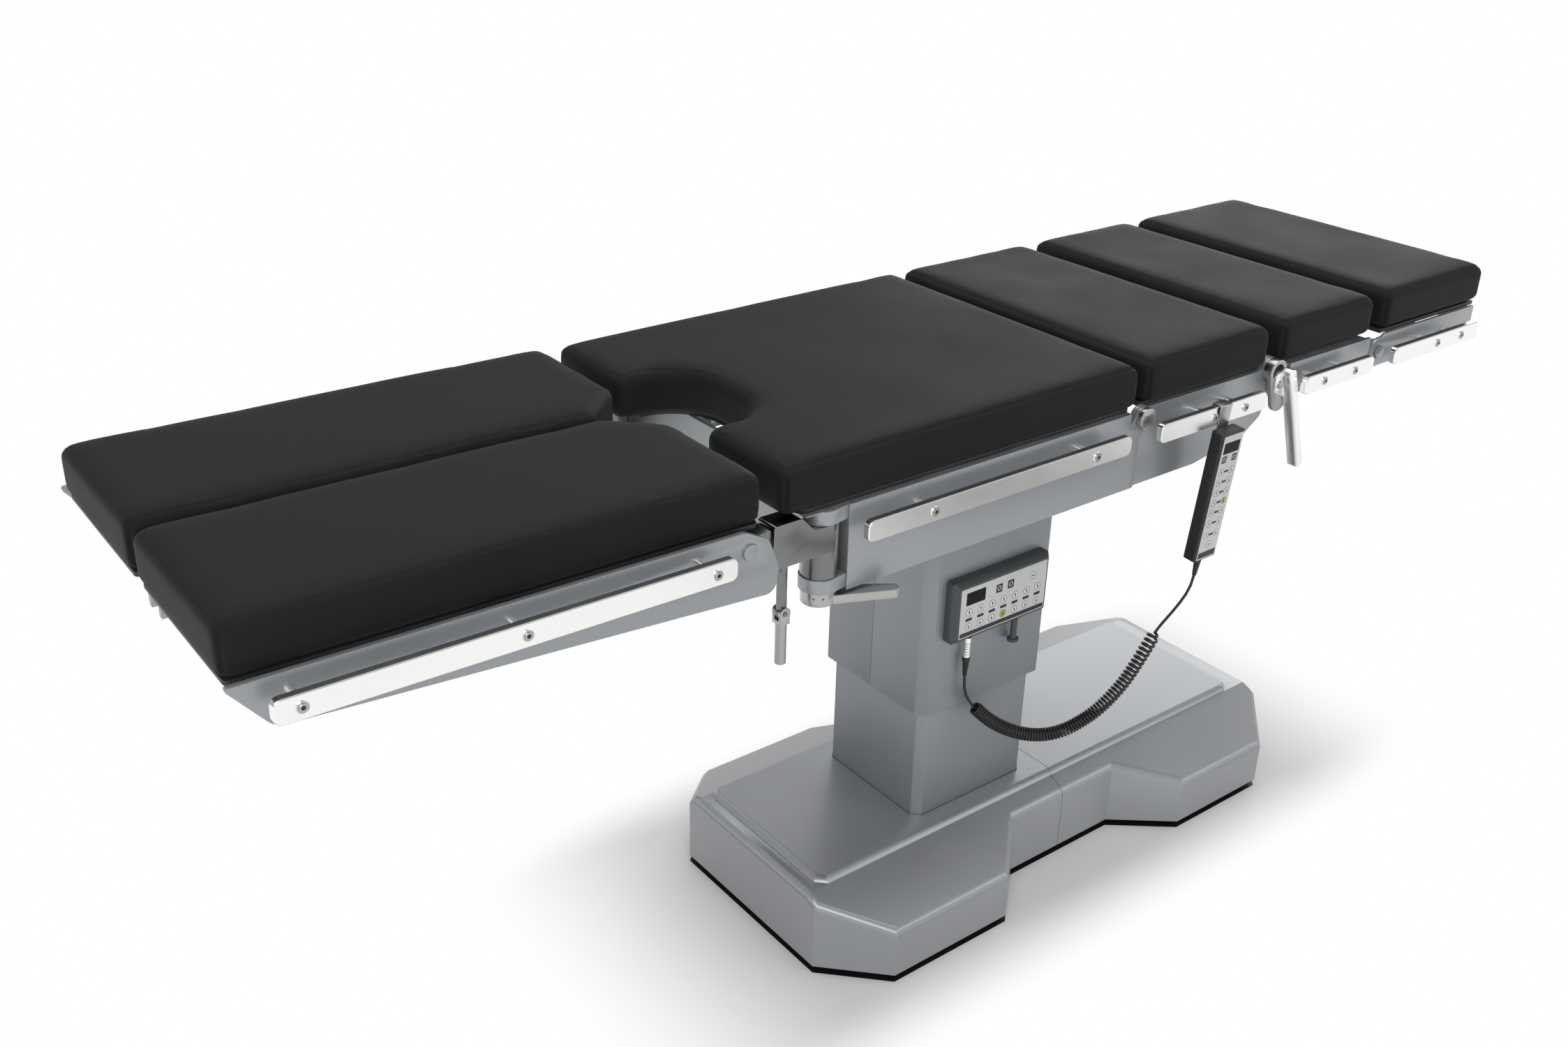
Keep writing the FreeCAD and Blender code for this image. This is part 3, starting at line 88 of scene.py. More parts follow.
def light_studio():
    lamp("overhead_softbox", (0.3, 0.5, 3.6), (-0.1, 0, 0.4), (3.4, 2.4), 46)
    lamp("window_side_softbox", (2.6, -3.4, 2.2), (0.1, 0, 0.6), (2.6, 2.2), 20)
    lamp("head_end_softbox", (4.2, 2.6, 1.9), (0.3, 0, 0.3), (3.2, 2.6), 48)
    lamp("camera_side_softbox", (-2.6, -2.9, 2.7), (-0.1, -0.2, 0.25), (2.2, 1.8), 46)
    lamp("leg_end_softbox", (-4.2, -0.3, 1.2), (-0.3, 0, 0.15), (2.6, 1.6), 10)
    world = bpy.data.worlds.new("studio")
    bpy.context.scene.world = world
    world.use_nodes = True
    tree = world.node_tree
    tree.nodes.clear()
    out = tree.nodes.new("ShaderNodeOutputWorld")
    seen = tree.nodes.new("ShaderNodeBackground")
    seen.inputs["Strength"].default_value = 1
    room = tree.nodes.new("ShaderNodeBackground")
    room.inputs["Strength"].default_value = 0.62
    rays = tree.nodes.new("ShaderNodeLightPath")
    either = tree.nodes.new("ShaderNodeMath")
    either.operation = "MAXIMUM"
    tree.links.new(rays.outputs["Is Camera Ray"], either.inputs[0])
    tree.links.new(rays.outputs["Is Transmission Ray"], either.inputs[1])
    mix = tree.nodes.new("ShaderNodeMixShader")
    tree.links.new(either.outputs[0], mix.inputs["Fac"])
    tree.links.new(room.outputs[0], mix.inputs[1])
    tree.links.new(seen.outputs[0], mix.inputs[2])
    tree.links.new(mix.outputs[0], out.inputs["Surface"])


# materials
def socket(group, name, kind, direction, value=None):
    made = group.interface.new_socket(name=name, in_out=direction, socket_type=kind)
    if value is not None:
        made.default_value = value


def link_all(tree, *pairs):
    for source, target in pairs:
        tree.links.new(source, target)


def math_node(tree, operation, first, second):
    node = tree.nodes.new("ShaderNodeMath")
    node.operation = operation
    for index, value in enumerate((first, second)):
        if isinstance(value, (int, float)):
            node.inputs[index].default_value = value
        else:
            tree.links.new(value, node.inputs[index])
    return node.outputs[0]


def stretched_noise(tree, place, stretch, scale, detail):
    """Noise over a place, with its coordinates multiplied by stretch along X, Y and Z."""
    mapping = tree.nodes.new("ShaderNodeMapping")
    mapping.inputs["Scale"].default_value = stretch
    noise = tree.nodes.new("ShaderNodeTexNoise")
    noise.inputs["Detail"].default_value = detail
    tree.links.new(place, mapping.inputs["Vector"])
    tree.links.new(mapping.outputs[0], noise.inputs["Vector"])
    if isinstance(scale, (int, float)):
        noise.inputs["Scale"].default_value = scale
    else:
        tree.links.new(scale, noise.inputs["Scale"])
    return noise.outputs["Fac"]


def paint_skin_group():
    """Fine orange peel and metallic flakes: a height, a flake mask and a slow cloud of tone."""
    group = bpy.data.node_groups.new("paint skin", "ShaderNodeTree")
    socket(group, "Place", "NodeSocketVector", "INPUT")
    socket(group, "Flake scale", "NodeSocketFloat", "INPUT", 2400)
    socket(group, "Height", "NodeSocketFloat", "OUTPUT")
    socket(group, "Flakes", "NodeSocketFloat", "OUTPUT")
    socket(group, "Cloud", "NodeSocketFloat", "OUTPUT")
    given = group.nodes.new("NodeGroupInput")
    result = group.nodes.new("NodeGroupOutput")
    place = given.outputs["Place"]
    flakes = stretched_noise(group, place, (1, 1, 1), given.outputs["Flake scale"], 1)
    link_all(group,
             (stretched_noise(group, place, (1, 1, 1), 700, 2), result.inputs["Height"]),
             (flakes, result.inputs["Flakes"]),
             (stretched_noise(group, place, (1, 1, 1), 3.2, 3), result.inputs["Cloud"]))
    return group


def brushing_group():
    """Fine lines of brushed steel along one axis, and the smudges of hands."""
    group = bpy.data.node_groups.new("brushing", "ShaderNodeTree")
    socket(group, "Place", "NodeSocketVector", "INPUT")
    socket(group, "Line scale", "NodeSocketFloat", "INPUT", 60)
    socket(group, "Lines", "NodeSocketFloat", "OUTPUT")
    socket(group, "Smudges", "NodeSocketFloat", "OUTPUT")
    given = group.nodes.new("NodeGroupInput")
    result = group.nodes.new("NodeGroupOutput")
    place = given.outputs["Place"]
    lines = stretched_noise(group, place, (1, 60, 60), given.outputs["Line scale"], 3)
    link_all(group,
             (lines, result.inputs["Lines"]),
             (stretched_noise(group, place, (1, 1, 1), 14, 4), result.inputs["Smudges"]))
    return group


def cover_grain_group():
    """The pebbled grain of a coated cover: a height and slow unevenness."""
    group = bpy.data.node_groups.new("cover grain", "ShaderNodeTree")
    socket(group, "Place", "NodeSocketVector", "INPUT")
    socket(group, "Pebble scale", "NodeSocketFloat", "INPUT", 900)
    socket(group, "Height", "NodeSocketFloat", "OUTPUT")
    socket(group, "Unevenness", "NodeSocketFloat", "OUTPUT")
    given = group.nodes.new("NodeGroupInput")
    result = group.nodes.new("NodeGroupOutput")
    place = given.outputs["Place"]
    pebbles = group.nodes.new("ShaderNodeTexVoronoi")
    pebbles.feature = "SMOOTH_F1"
    link_all(group,
             (place, pebbles.inputs["Vector"]),
             (given.outputs["Pebble scale"], pebbles.inputs["Scale"]))
    fine = stretched_noise(group, place, (1, 1, 1), 2600, 2)
    height = math_node(group, "ADD", pebbles.outputs["Distance"], math_node(group, "MULTIPLY", fine, 0.4))
    link_all(group,
             (height, result.inputs["Height"]),
             (stretched_noise(group, place, (1, 1, 1), 7, 4), result.inputs["Unevenness"]))
    return group


GROUPS = {"skin": paint_skin_group(), "brushing": brushing_group(), "grain": cover_grain_group()}


def new_material(name, colour, metallic, roughness, group=None, **constants):
    """A material whose constants sit on the shader, with one of the shared groups placed in it."""
    material = bpy.data.materials.new(name)
    material.use_nodes = True
    tree = material.node_tree
    shader = tree.nodes["Principled BSDF"]
    shader.inputs["Base Color"].default_value = (*colour, 1)
    shader.inputs["Metallic"].default_value = metallic
    shader.inputs["Roughness"].default_value = roughness
    for key, value in constants.items():
        shader.inputs[key.replace("_", " ")].default_value = value
    placed = None
    if group:
        placed = tree.nodes.new("ShaderNodeGroup")
        placed.node_tree = GROUPS[group]
        place = tree.nodes.new("ShaderNodeTexCoord")
        tree.links.new(place.outputs["Object"], placed.inputs["Place"])
    return material, tree, shader, placed


def vary_colour(tree, shader, mask, dark, light):
    """Base Color runs from dark to light as the mask goes from 0.3 to 0.7."""
    ramp = tree.nodes.new("ShaderNodeValToRGB")
    ramp.color_ramp.elements[0].position = 0.3
    ramp.color_ramp.elements[0].color = (*dark, 1)
    ramp.color_ramp.elements[1].position = 0.7
    ramp.color_ramp.elements[1].color = (*light, 1)
    link_all(tree, (mask, ramp.inputs["Fac"]), (ramp.outputs["Color"], shader.inputs["Base Color"]))


def vary_roughness(tree, shader, mask, smooth, rough):
    spread = tree.nodes.new("ShaderNodeMapRange")
    spread.inputs["From Min"].default_value = 0.3
    spread.inputs["From Max"].default_value = 0.7
    spread.inputs["To Min"].default_value = smooth
    spread.inputs["To Max"].default_value = rough
    link_all(tree, (mask, spread.inputs["Value"]), (spread.outputs["Result"], shader.inputs["Roughness"]))


def add_bump(tree, shader, height, distance, strength=1):
    bump = tree.nodes.new("ShaderNodeBump")
    bump.inputs["Distance"].default_value = distance
    bump.inputs["Strength"].default_value = strength
    link_all(tree, (height, bump.inputs["Height"]), (bump.outputs["Normal"], shader.inputs["Normal"]))


def scaled(colour, factor):
    return tuple(min(1, part * factor) for part in colour)


def painted(name, colour, metallic=0.55, roughness=0.36, coat=0.25):
    material, tree, shader, skin = new_material(name, colour, metallic, roughness, "skin",
                                                Coat_Roughness=0.22)
    shader.inputs["Coat Weight"].default_value = coat
    tone = math_node(tree, "ADD", math_node(tree, "MULTIPLY", skin.outputs["Flakes"], 0.45),
                     math_node(tree, "MULTIPLY", skin.outputs["Cloud"], 0.55))
    vary_colour(tree, shader, tone, scaled(colour, 0.9), scaled(colour, 1.1))
    vary_roughness(tree, shader, skin.outputs["Cloud"], roughness - 0.04, roughness + 0.05)
    add_bump(tree, shader, skin.outputs["Height"], 0.00003)
    return material


def brushed(name, colour, roughness, line_scale=60, wear=1):
    """Brushed steel, whose lines and smudges show less where wear is under 1."""
    material, tree, shader, lines = new_material(name, colour, 1, roughness, "brushing")
    lines.inputs["Line scale"].default_value = line_scale
    vary_colour(tree, shader, lines.outputs["Lines"], scaled(colour, 1 - 0.08 * wear),
                scaled(colour, 1 + 0.05 * wear))
    worn = math_node(tree, "ADD", math_node(tree, "MULTIPLY", lines.outputs["Lines"], 0.6),
                     math_node(tree, "MULTIPLY", lines.outputs["Smudges"], 0.4))
    vary_roughness(tree, shader, worn, roughness - 0.07 * wear, roughness + 0.09 * wear)
    add_bump(tree, shader, lines.outputs["Lines"], 0.00002 * wear)
    return material


def cushion_cover():
    colour = (0.0140, 0.0156, 0.0151)
    material, tree, shader, grain = new_material("charcoal cover", colour, 0, 0.55, "grain",
                                                 Sheen_Weight=0.03, Sheen_Roughness=0.5,
                                                 Specular_IOR_Level=0.07)
    vary_colour(tree, shader, grain.outputs["Unevenness"], scaled(colour, 0.85), scaled(colour, 1.12))
    vary_roughness(tree, shader, grain.outputs["Unevenness"], 0.5, 0.62)
    add_bump(tree, shader, grain.outputs["Height"], 0.00012, 0.7)
    return material


def plastic(name, colour, roughness, pebble_scale=1800, bump=0.00006):
    material, tree, shader, grain = new_material(name, colour, 0, roughness, "grain")
    grain.inputs["Pebble scale"].default_value = pebble_scale
    vary_colour(tree, shader, grain.outputs["Unevenness"], scaled(colour, 0.93), scaled(colour, 1.06))
    vary_roughness(tree, shader, grain.outputs["Unevenness"], roughness - 0.04, roughness + 0.05)
    add_bump(tree, shader, grain.outputs["Height"], bump, 0.6)
    return material


def display_glass():
    material, tree, shader, grain = new_material("display window", (0.006, 0.008, 0.008), 0, 0.3, "grain",
                                                 Specular_IOR_Level=0.12)
    vary_roughness(tree, shader, grain.outputs["Unevenness"], 0.26, 0.34)
    return material


def vector_node(tree, operation, vector, other):
    node = tree.nodes.new("ShaderNodeVectorMath")
    node.operation = operation
    node.inputs[1].default_value = other
    tree.links.new(vector, node.inputs[0])
    return node.outputs["Vector"]


lit_floor = (0.5, 0.25, 0)
dim_patch = (0.95, -1.6, 0)


def floor_paper():
    """White studio floor, shaded close around the base, with a dim patch that only reflections see."""
    material = bpy.data.materials.new("studio floor")
    material.use_nodes = True
    tree = material.node_tree
    shader = tree.nodes["Principled BSDF"]
    shader.inputs["Base Color"].default_value = (0.8, 0.8, 0.8, 1)
    shader.inputs["Roughness"].default_value = 0.8
    white = tree.nodes.new("ShaderNodeEmission")
    place = tree.nodes.new("ShaderNodeTexCoord")
    outside = vector_node(tree, "ABSOLUTE", place.outputs["Object"], (0, 0, 0))
    outside = vector_node(tree, "SUBTRACT", outside, lit_floor)
    outside = vector_node(tree, "MAXIMUM", outside, (0, 0, 0))
    outside = vector_node(tree, "MULTIPLY", outside, (0.38, 1, 1))
    away = tree.nodes.new("ShaderNodeVectorMath")
    away.operation = "LENGTH"
    fade = tree.nodes.new("ShaderNodeMapRange")
    fade.interpolation_type = "SMOOTHSTEP"
    fade.inputs["From Min"].default_value = -0.02
    fade.inputs["From Max"].default_value = 0.14
    rays = tree.nodes.new("ShaderNodeLightPath")
    from_patch = tree.nodes.new("ShaderNodeVectorMath")
    from_patch.operation = "DISTANCE"
    from_patch.inputs[1].default_value = dim_patch
    dim = tree.nodes.new("ShaderNodeMapRange")
    dim.interpolation_type = "SMOOTHSTEP"
    dim.inputs["From Min"].default_value = 0.1
    dim.inputs["From Max"].default_value = 1.0
    dim.inputs["To Min"].default_value = 0.22
    seen = math_node(tree, "MULTIPLY", fade.outputs["Result"],
                     math_node(tree, "MAXIMUM", rays.outputs["Is Camera Ray"], rays.outputs["Is Glossy Ray"]))
    mix = tree.nodes.new("ShaderNodeMixShader")
    close = tree.nodes.new("ShaderNodeMapRange")
    close.inputs["From Max"].default_value = 0.6
    close.inputs["To Min"].default_value = 0.5
    mirrored = math_node(tree, "MULTIPLY", dim.outputs["Result"], close.outputs["Result"])
    strength = math_node(tree, "MAXIMUM", mirrored, rays.outputs["Is Camera Ray"])
    link_all(tree,
             (place.outputs["Object"], from_patch.inputs[0]),
             (from_patch.outputs["Value"], dim.inputs["Value"]),
             (outside, away.inputs[0]),
             (away.outputs["Value"], close.inputs["Value"]),
             (away.outputs["Value"], fade.inputs["Value"]),
             (strength, white.inputs["Strength"]),
             (seen, mix.inputs["Fac"]),
             (shader.outputs[0], mix.inputs[1]),
             (white.outputs[0], mix.inputs[2]),
             (mix.outputs[0], tree.nodes["Material Output"].inputs["Surface"]))
    return material


FINISH = {
    "base_paint": painted("silver base paint", (0.40, 0.413, 0.43)),
    "frame_paint": painted("silver frame paint", (0.34, 0.356, 0.372)),
    "column_metal": painted("satin column", (0.30, 0.318, 0.33), 0.5, 0.42, 0.1),
    "bright_steel": brushed("brushed steel", (0.93, 0.93, 0.92), 0.22, 60, 0.4),
    "cast_steel": brushed("satin steel", (0.46, 0.46, 0.45), 0.3, 30),
    "arm_steel": brushed("dark satin steel", (0.21, 0.215, 0.215), 0.22, 30, 0.5),
    "polished_steel": brushed("polished steel", (0.72, 0.72, 0.71), 0.16, 90),
    "chassis_steel": brushed("chassis steel", (0.34, 0.34, 0.34), 0.5, 40),
    "pad_cover": cushion_cover(),
    "board_laminate": plastic("black board", (0.018, 0.018, 0.019), 0.5),
    "guide_plastic": plastic("guide plastic", (0.05, 0.05, 0.05), 0.5),
    "box_plastic": plastic("grey moulding", (0.06, 0.066, 0.07), 0.42),
    "panel_foil": plastic("silver foil", (0.60, 0.61, 0.62), 0.34, 5000, 0.00001),
    "key_white": plastic("white key print", (0.78, 0.79, 0.8), 0.4, 5000, 0.00001),
    "key_yellow": plastic("yellow key print", (0.52, 0.42, 0.03), 0.4, 5000, 0.00001),
    # black print on the foils; the same black is also the painted shade in the screw sockets and the painted
    # shadow under the base
    "print_and_shade_black": plastic("black print and painted shade", (0.012, 0.012, 0.013), 0.38, 5000, 0.00001),
    "display": display_glass(),
    "cord_black": plastic("cord rubber", (0.012, 0.012, 0.012), 0.38, 2600, 0.00002),
    "handset_black": plastic("black moulding", (0.012, 0.012, 0.013), 0.42),
    "foot_rubber": plastic("foot rubber", (0.02, 0.02, 0.02), 0.7),
}


# mesh helpers
def take_up(target, part):
    """Moves the faces of one bmesh into another."""
    mesh = bpy.data.meshes.new("part")
    part.to_mesh(mesh)
    part.free()
    target.from_mesh(mesh)
    bpy.data.meshes.remove(mesh)


def new_piece(name, bm, finish, body, replaces=(), smooth_angle=35):
    """The finished bmesh as a named piece that rides on a body."""
    bmesh.ops.remove_doubles(bm, verts=bm.verts, dist=0.000005)
    bmesh.ops.recalc_face_normals(bm, faces=bm.faces)
    mesh = bpy.data.meshes.new(name)
    bm.to_mesh(mesh)
    bm.free()
    mesh.shade_smooth()
    mesh.set_sharp_from_angle(angle=math.radians(smooth_angle))
    mesh.materials.append(FINISH[finish])
    piece = bpy.data.objects.new(name, mesh)
    bpy.context.scene.collection.objects.link(piece)
    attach(piece, body)
    if replaces:
        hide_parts(*replaces)
    return piece


def add_turned(bm, profile, place, steps=32):
    """Spins a profile of (radius, height) about the Z axis of place."""
    part = bmesh.new()
    line = [part.verts.new((radius, 0, height)) for radius, height in profile]
    edges = [part.edges.new(pair) for pair in zip(line, line[1:])]
    bmesh.ops.spin(part, geom=line + edges, cent=(0, 0, 0), axis=(0, 0, 1), angle=math.tau, steps=steps,
                   use_merge=True)
    bmesh.ops.remove_doubles(part, verts=part.verts, dist=0.000001)
    bmesh.ops.transform(part, matrix=place, verts=part.verts)
    take_up(bm, part)


def add_bar(bm, size, place, bevel=0.0, segments=2):
    """A block of size (x, y, z), centred on place, with bevelled edges."""
    part = bmesh.new()
    bmesh.ops.create_cube(part, size=1)
    bmesh.ops.scale(part, vec=size, verts=part.verts)
    if bevel:
        bmesh.ops.bevel(part, geom=part.edges, offset=bevel, offset_type="OFFSET", segments=segments,
                        profile=0.5, affect="EDGES", material=-1, clamp_overlap=True)
    bmesh.ops.transform(part, matrix=place, verts=part.verts)
    take_up(bm, part)


def add_plate(bm, corners, thickness, place):
    """A flat plate through corners (u, v) of place's XY plane, thickness along its Z."""
    part = bmesh.new()
    face = part.faces.new([part.verts.new((u, v, 0)) for u, v in corners])
    made = bmesh.ops.extrude_face_region(part, geom=[face])["geom"]
    upper = [item for item in made if isinstance(item, bmesh.types.BMVert)]
    bmesh.ops.translate(part, vec=(0, 0, thickness), verts=upper)
    bmesh.ops.transform(part, matrix=place, verts=part.verts)
    take_up(bm, part)


def axes(origin, right, up):
    """A placing matrix from an origin and two directions; its Z axis is right x up."""
    right = Vector(right).normalized()
    out = right.cross(Vector(up)).normalized()
    up = out.cross(right)
    turn = Matrix((right, up, out)).transposed().to_4x4()
    return Matrix.Translation(origin) @ turn


def facing(origin, side):
    """A placing matrix on a vertical face of the near or far side, its Z axis pointing out."""
    return axes(origin, (-side, 0, 0), (0, 0, 1))


def merged_copy(node):
    """A CAD node's mesh with its triangles joined and its flat faces made whole."""
    bm = bmesh.new()
    bm.from_mesh(nodes[node].data)
    bmesh.ops.remove_doubles(bm, verts=bm.verts, dist=0.00001)
    bmesh.ops.dissolve_limit(bm, angle_limit=math.radians(1), verts=bm.verts, edges=bm.edges)
    return bm


# CAD nodes that stay: their finish, and a small bevel that catches the light
def dress(node, finish, bevel=0.0):
    piece = nodes[node]
    piece.data.materials.clear()
    piece.data.materials.append(FINISH[finish])
    piece.data.shade_smooth()
    weld = piece.modifiers.new("weld", "WELD")
    weld.merge_threshold = 0.00001
    flat = piece.modifiers.new("flat faces", "DECIMATE")
    flat.decimate_type = "DISSOLVE"
    flat.angle_limit = math.radians(1)
    if bevel:
        edge = piece.modifiers.new("edges", "BEVEL")
        edge.width = bevel
        edge.segments = 2
        edge.limit_method = "ANGLE"
        edge.angle_limit = math.radians(38)
        edge.harden_normals = False
    split = piece.modifiers.new("crisp", "EDGE_SPLIT")
    split.split_angle = math.radians(32)


CAD_FINISH = (
    ("floor_feet", "foot_rubber", 0), ("base_chassis", "chassis_steel", 0),
    ("lower_column", "column_metal", 0.0006), ("lift_ram_tube", "chassis_steel", 0),
    ("lift_ram", "polished_steel", 0), ("column_shroud", "column_metal", 0.0008),
    ("column_guide", "guide_plastic", 0), ("column_head", "chassis_steel", 0.001),
    ("tilt_cross", "chassis_steel", 0.001), ("slide_carriage", "chassis_steel", 0.001),
    ("seat_frame", "frame_paint", 0.0015), ("hip_brackets", "frame_paint", 0.0012),
    ("back_pivot_pins", "cast_steel", 0.0008), ("seat_board", "board_laminate", 0.0006),
    ("seat_rails", "bright_steel", 0), ("lower_back_frame", "frame_paint", 0.0015),
    ("lower_back_hinges", "cast_steel", 0.0006), ("lower_back_board", "board_laminate", 0.0006),
    ("lower_back_rails", "bright_steel", 0), ("upper_back_frame", "frame_paint", 0.0012),
    ("upper_back_board", "board_laminate", 0.0006), ("upper_back_rails", "bright_steel", 0),
    ("head_frame", "frame_paint", 0.0012), ("head_board", "board_laminate", 0.0006),
    ("head_rails", "bright_steel", 0), ("control_box", "box_plastic", 0.0006),
    ("control_panel", "panel_foil", 0), ("socket_cap", "box_plastic", 0.0008),
    ("handset_body", "handset_black", 0.001), ("handset_panel", "panel_foil", 0),
    ("handset_hook", "cast_steel", 0.0003))
SIDE_FINISH = (
    ("back_lever_", "bright_steel", 0.0012), ("leg_arm_", "arm_steel", 0.0012),
    ("leg_handle_", "cast_steel", 0.0005), ("clamp_lever_", "cast_steel", 0.0012),
    ("leg_frame_", "frame_paint", 0.0014), ("leg_board_", "board_laminate", 0.0006),
    ("leg_rail_", "bright_steel", 0))


def dress_nodes():
    for node, finish, bevel in CAD_FINISH:
        dress(node, finish, bevel)
    for start, finish, bevel in SIDE_FINISH:
        for side_name, _ in SIDES:
            dress(start + side_name, finish, bevel)


# turned-in top flanges of the side plates, which carry the boards
# how far inside the frame's box each section's plate has its middle
plate_middle = {"seat": 3 * MM, "lower_back": 3 * MM, "upper_back": 6.3 * MM}
flange_thickness = 1.5 * MM
flange_under_board = 6 * MM
flange_end_gap = 4 * MM
flange_drop = 0.2 * MM


def flanges(section):
    _, frame_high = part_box(section + "_frame")
    board_low, board_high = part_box(section + "_board")
    outer = frame_high.y - plate_middle[section]
    inner = board_high.y - flange_under_board
    length = board_high.x - board_low.x - 2 * flange_end_gap
    level = board_low.z - flange_drop - flange_thickness / 2
    bm = bmesh.new()
    for side in (NEAR, FAR):
        place = Matrix.Translation(((board_low.x + board_high.x) / 2, side * (outer + inner) / 2, level))
        add_bar(bm, (length, outer - inner, flange_thickness), place, 0.4 * MM)
    new_piece(section + "_flanges", bm, "frame_paint", section)


# base covers, with rounded upright corners and rims that shade as round
cover_corner = 9 * MM
cover_seam_reach = 3 * MM
cover_floor_rim = 2 * MM
column_opening = 12 * MM
cover_middle = Vector((0, 0, 50 * MM))
flat_angle = math.radians(6)
steep = 0.45
rim_smooth_angle = 62


def is_cover_corner(edge, floor_edge):
    """Whether an edge is an upright corner on the outside of a base cover."""
    if len(edge.link_faces) != 2:
        return False
    middle = (edge.verts[0].co + edge.verts[1].co) / 2
    first, second = (face.normal for face in edge.link_faces)
    direction = edge.verts[1].co - edge.verts[0].co
    if abs(direction.z) < steep * direction.length or first.angle(second, 0) < flat_angle:
        return False
    if middle.z < floor_edge or abs(middle.x) < cover_seam_reach:
        return False
    outward = middle - cover_middle
    column_low, column_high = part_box("lower_column")
    by_column = (column_low.x - column_opening < middle.x < column_high.x + column_opening
                 and column_low.y - column_opening < middle.y < column_high.y + column_opening)
    return first.dot(outward) > 0 and second.dot(outward) > 0 and not by_column


def base_cover(node):
    bm = merged_copy(node)
    floor_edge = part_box(node)[0].z + cover_floor_rim
    corners = [edge for edge in bm.edges if is_cover_corner(edge, floor_edge)]
    bmesh.ops.bevel(bm, geom=corners, offset=cover_corner, offset_type="OFFSET", segments=4, profile=0.5,
                    affect="EDGES", material=-1, clamp_overlap=True)
    cover = new_piece(node + "_moulded", bm, "base_paint", "base", (node,), rim_smooth_angle)
    even = cover.modifiers.new("even faces", "WEIGHTED_NORMAL")
    even.weight = 100
    even.keep_sharp = True


# cushions: foam pads in a coated cover, swollen slightly by their filling
pad_voxel = 5.5 * MM
pad_pressure = 5
pad_frames = 20
pad_cap = 4.5 * MM
pad_retreat = 0.6 * MM
pad_evening = 14
seam_inset = 7 * MM
seam_depth = 1.1 * MM
seam_half_width = 2.4 * MM
fold_depth = 3 * MM
fold_reach = 25 * MM
fold_top_gap = 10 * MM


def pad_blank(node):
    """The CAD pad as one remeshed skin."""
    bm = merged_copy(node)
    mesh = bpy.data.meshes.new(node + "_blank")
    bmesh.ops.recalc_face_normals(bm, faces=bm.faces)
    bm.to_mesh(mesh)
    bm.free()
    blank = bpy.data.objects.new(node + "_padded", mesh)
    bpy.context.scene.collection.objects.link(blank)
    remesh = blank.modifiers.new("skin", "REMESH")
    remesh.mode = "VOXEL"
    remesh.voxel_size = pad_voxel
    relax = blank.modifiers.new("relax", "SMOOTH")
    relax.factor = 0.5
    relax.iterations = 2
    apply_modifiers(blank)
    return blank


def apply_modifiers(piece):
    graph = bpy.context.evaluated_depsgraph_get()
    mesh = bpy.data.meshes.new_from_object(piece.evaluated_get(graph))
    old = piece.data
    piece.modifiers.clear()
    piece.data = mesh
    bpy.data.meshes.remove(old)


def evened(values, links):
    """Each value drawn towards the mean of its neighbours."""
    for _ in range(pad_evening):
        sums = [0.0] * len(values)
        counts = [0] * len(values)
        for first, second in links:
            sums[first] += values[second]
            sums[second] += values[first]
            counts[first] += 1
            counts[second] += 1
        values = [(value + total / max(1, count)) / 2 for value, total, count in zip(values, sums, counts)]
    return values


def swell(pad):
    """Cloth under pressure, kept as an even swelling of each side; the underside stays flat on its board."""
    start = [(vertex.co.copy(), vertex.normal.copy()) for vertex in pad.data.vertices]
    links = [tuple(edge.vertices) for edge in pad.data.edges]
    cloth = pad.modifiers.new("cloth", "CLOTH")
    cloth.settings.use_pressure = True
    cloth.settings.uniform_pressure_force = pad_pressure
    cloth.settings.effector_weights.gravity = 0
    cloth.settings.tension_stiffness = 30
    cloth.settings.compression_stiffness = 30
    scene = bpy.context.scene
    for step in range(1, pad_frames + 1):
        scene.frame_set(step)
    apply_modifiers(pad)
    scene.frame_set(1)
    swelling = []
    for vertex, (rest, outward) in zip(pad.data.vertices, start):
        rise = (vertex.co - rest).dot(outward)
        swelling.append(0 if outward.z < -0.7 else max(-pad_retreat, min(rise, pad_cap)))
    for vertex, (rest, outward), rise in zip(pad.data.vertices, start, evened(swelling, links)):
        vertex.co = rest + outward * rise


def upright_corners(node):
    """The outer upright corners of a CAD pad, and its upright sides to measure from."""
    mesh = nodes[node].data
    points = [vertex.co.copy() for vertex in mesh.vertices]
    upright = [tuple(face.vertices) for face in mesh.polygons if abs(face.normal.z) < 0.3]
    low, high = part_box(node)
    middle = (low + high) / 2
    corners = []
    for x in (low.x, high.x):
        for y in (low.y, high.y):
            at_end = [point for point in points if abs(point.x - x) < 2 * MM]
            if min(abs(point.y - y) for point in at_end) < 20 * MM:
                inward = Vector((math.copysign(1, middle.x - x), math.copysign(1, middle.y - y), 0))
                corners.append((Vector((x, y, 0)), inward.normalized()))
    return corners, BVHTree.FromPolygons(points, upright)


def sew(pad, node):
    """The seam round the top panel, and the folds of the cover at its upright corners."""
    corners, sides = upright_corners(node)
    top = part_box(node)[1].z
    half_height = Vector((0, 0, 30 * MM))
    mesh = pad.data
    normals = [vertex.normal.copy() for vertex in mesh.vertices]
    for vertex, normal in zip(mesh.vertices, normals):
        point = vertex.co.copy()
        if normal.z > 0.75:
            away = (sides.find_nearest(point - half_height)[3] - seam_inset) / seam_half_width
            vertex.co = point - normal * seam_depth * math.exp(-away * away)
        elif normal.z > -0.4 and point.z < top - fold_top_gap:
            for corner, inward in corners:
                across = Vector((point.x, point.y, 0)) - corner
                beside = across.cross(inward).length / seam_half_width
                if across.length < fold_reach:
                    vertex.co = point + inward * fold_depth * math.exp(-beside * beside)
    mesh.update()


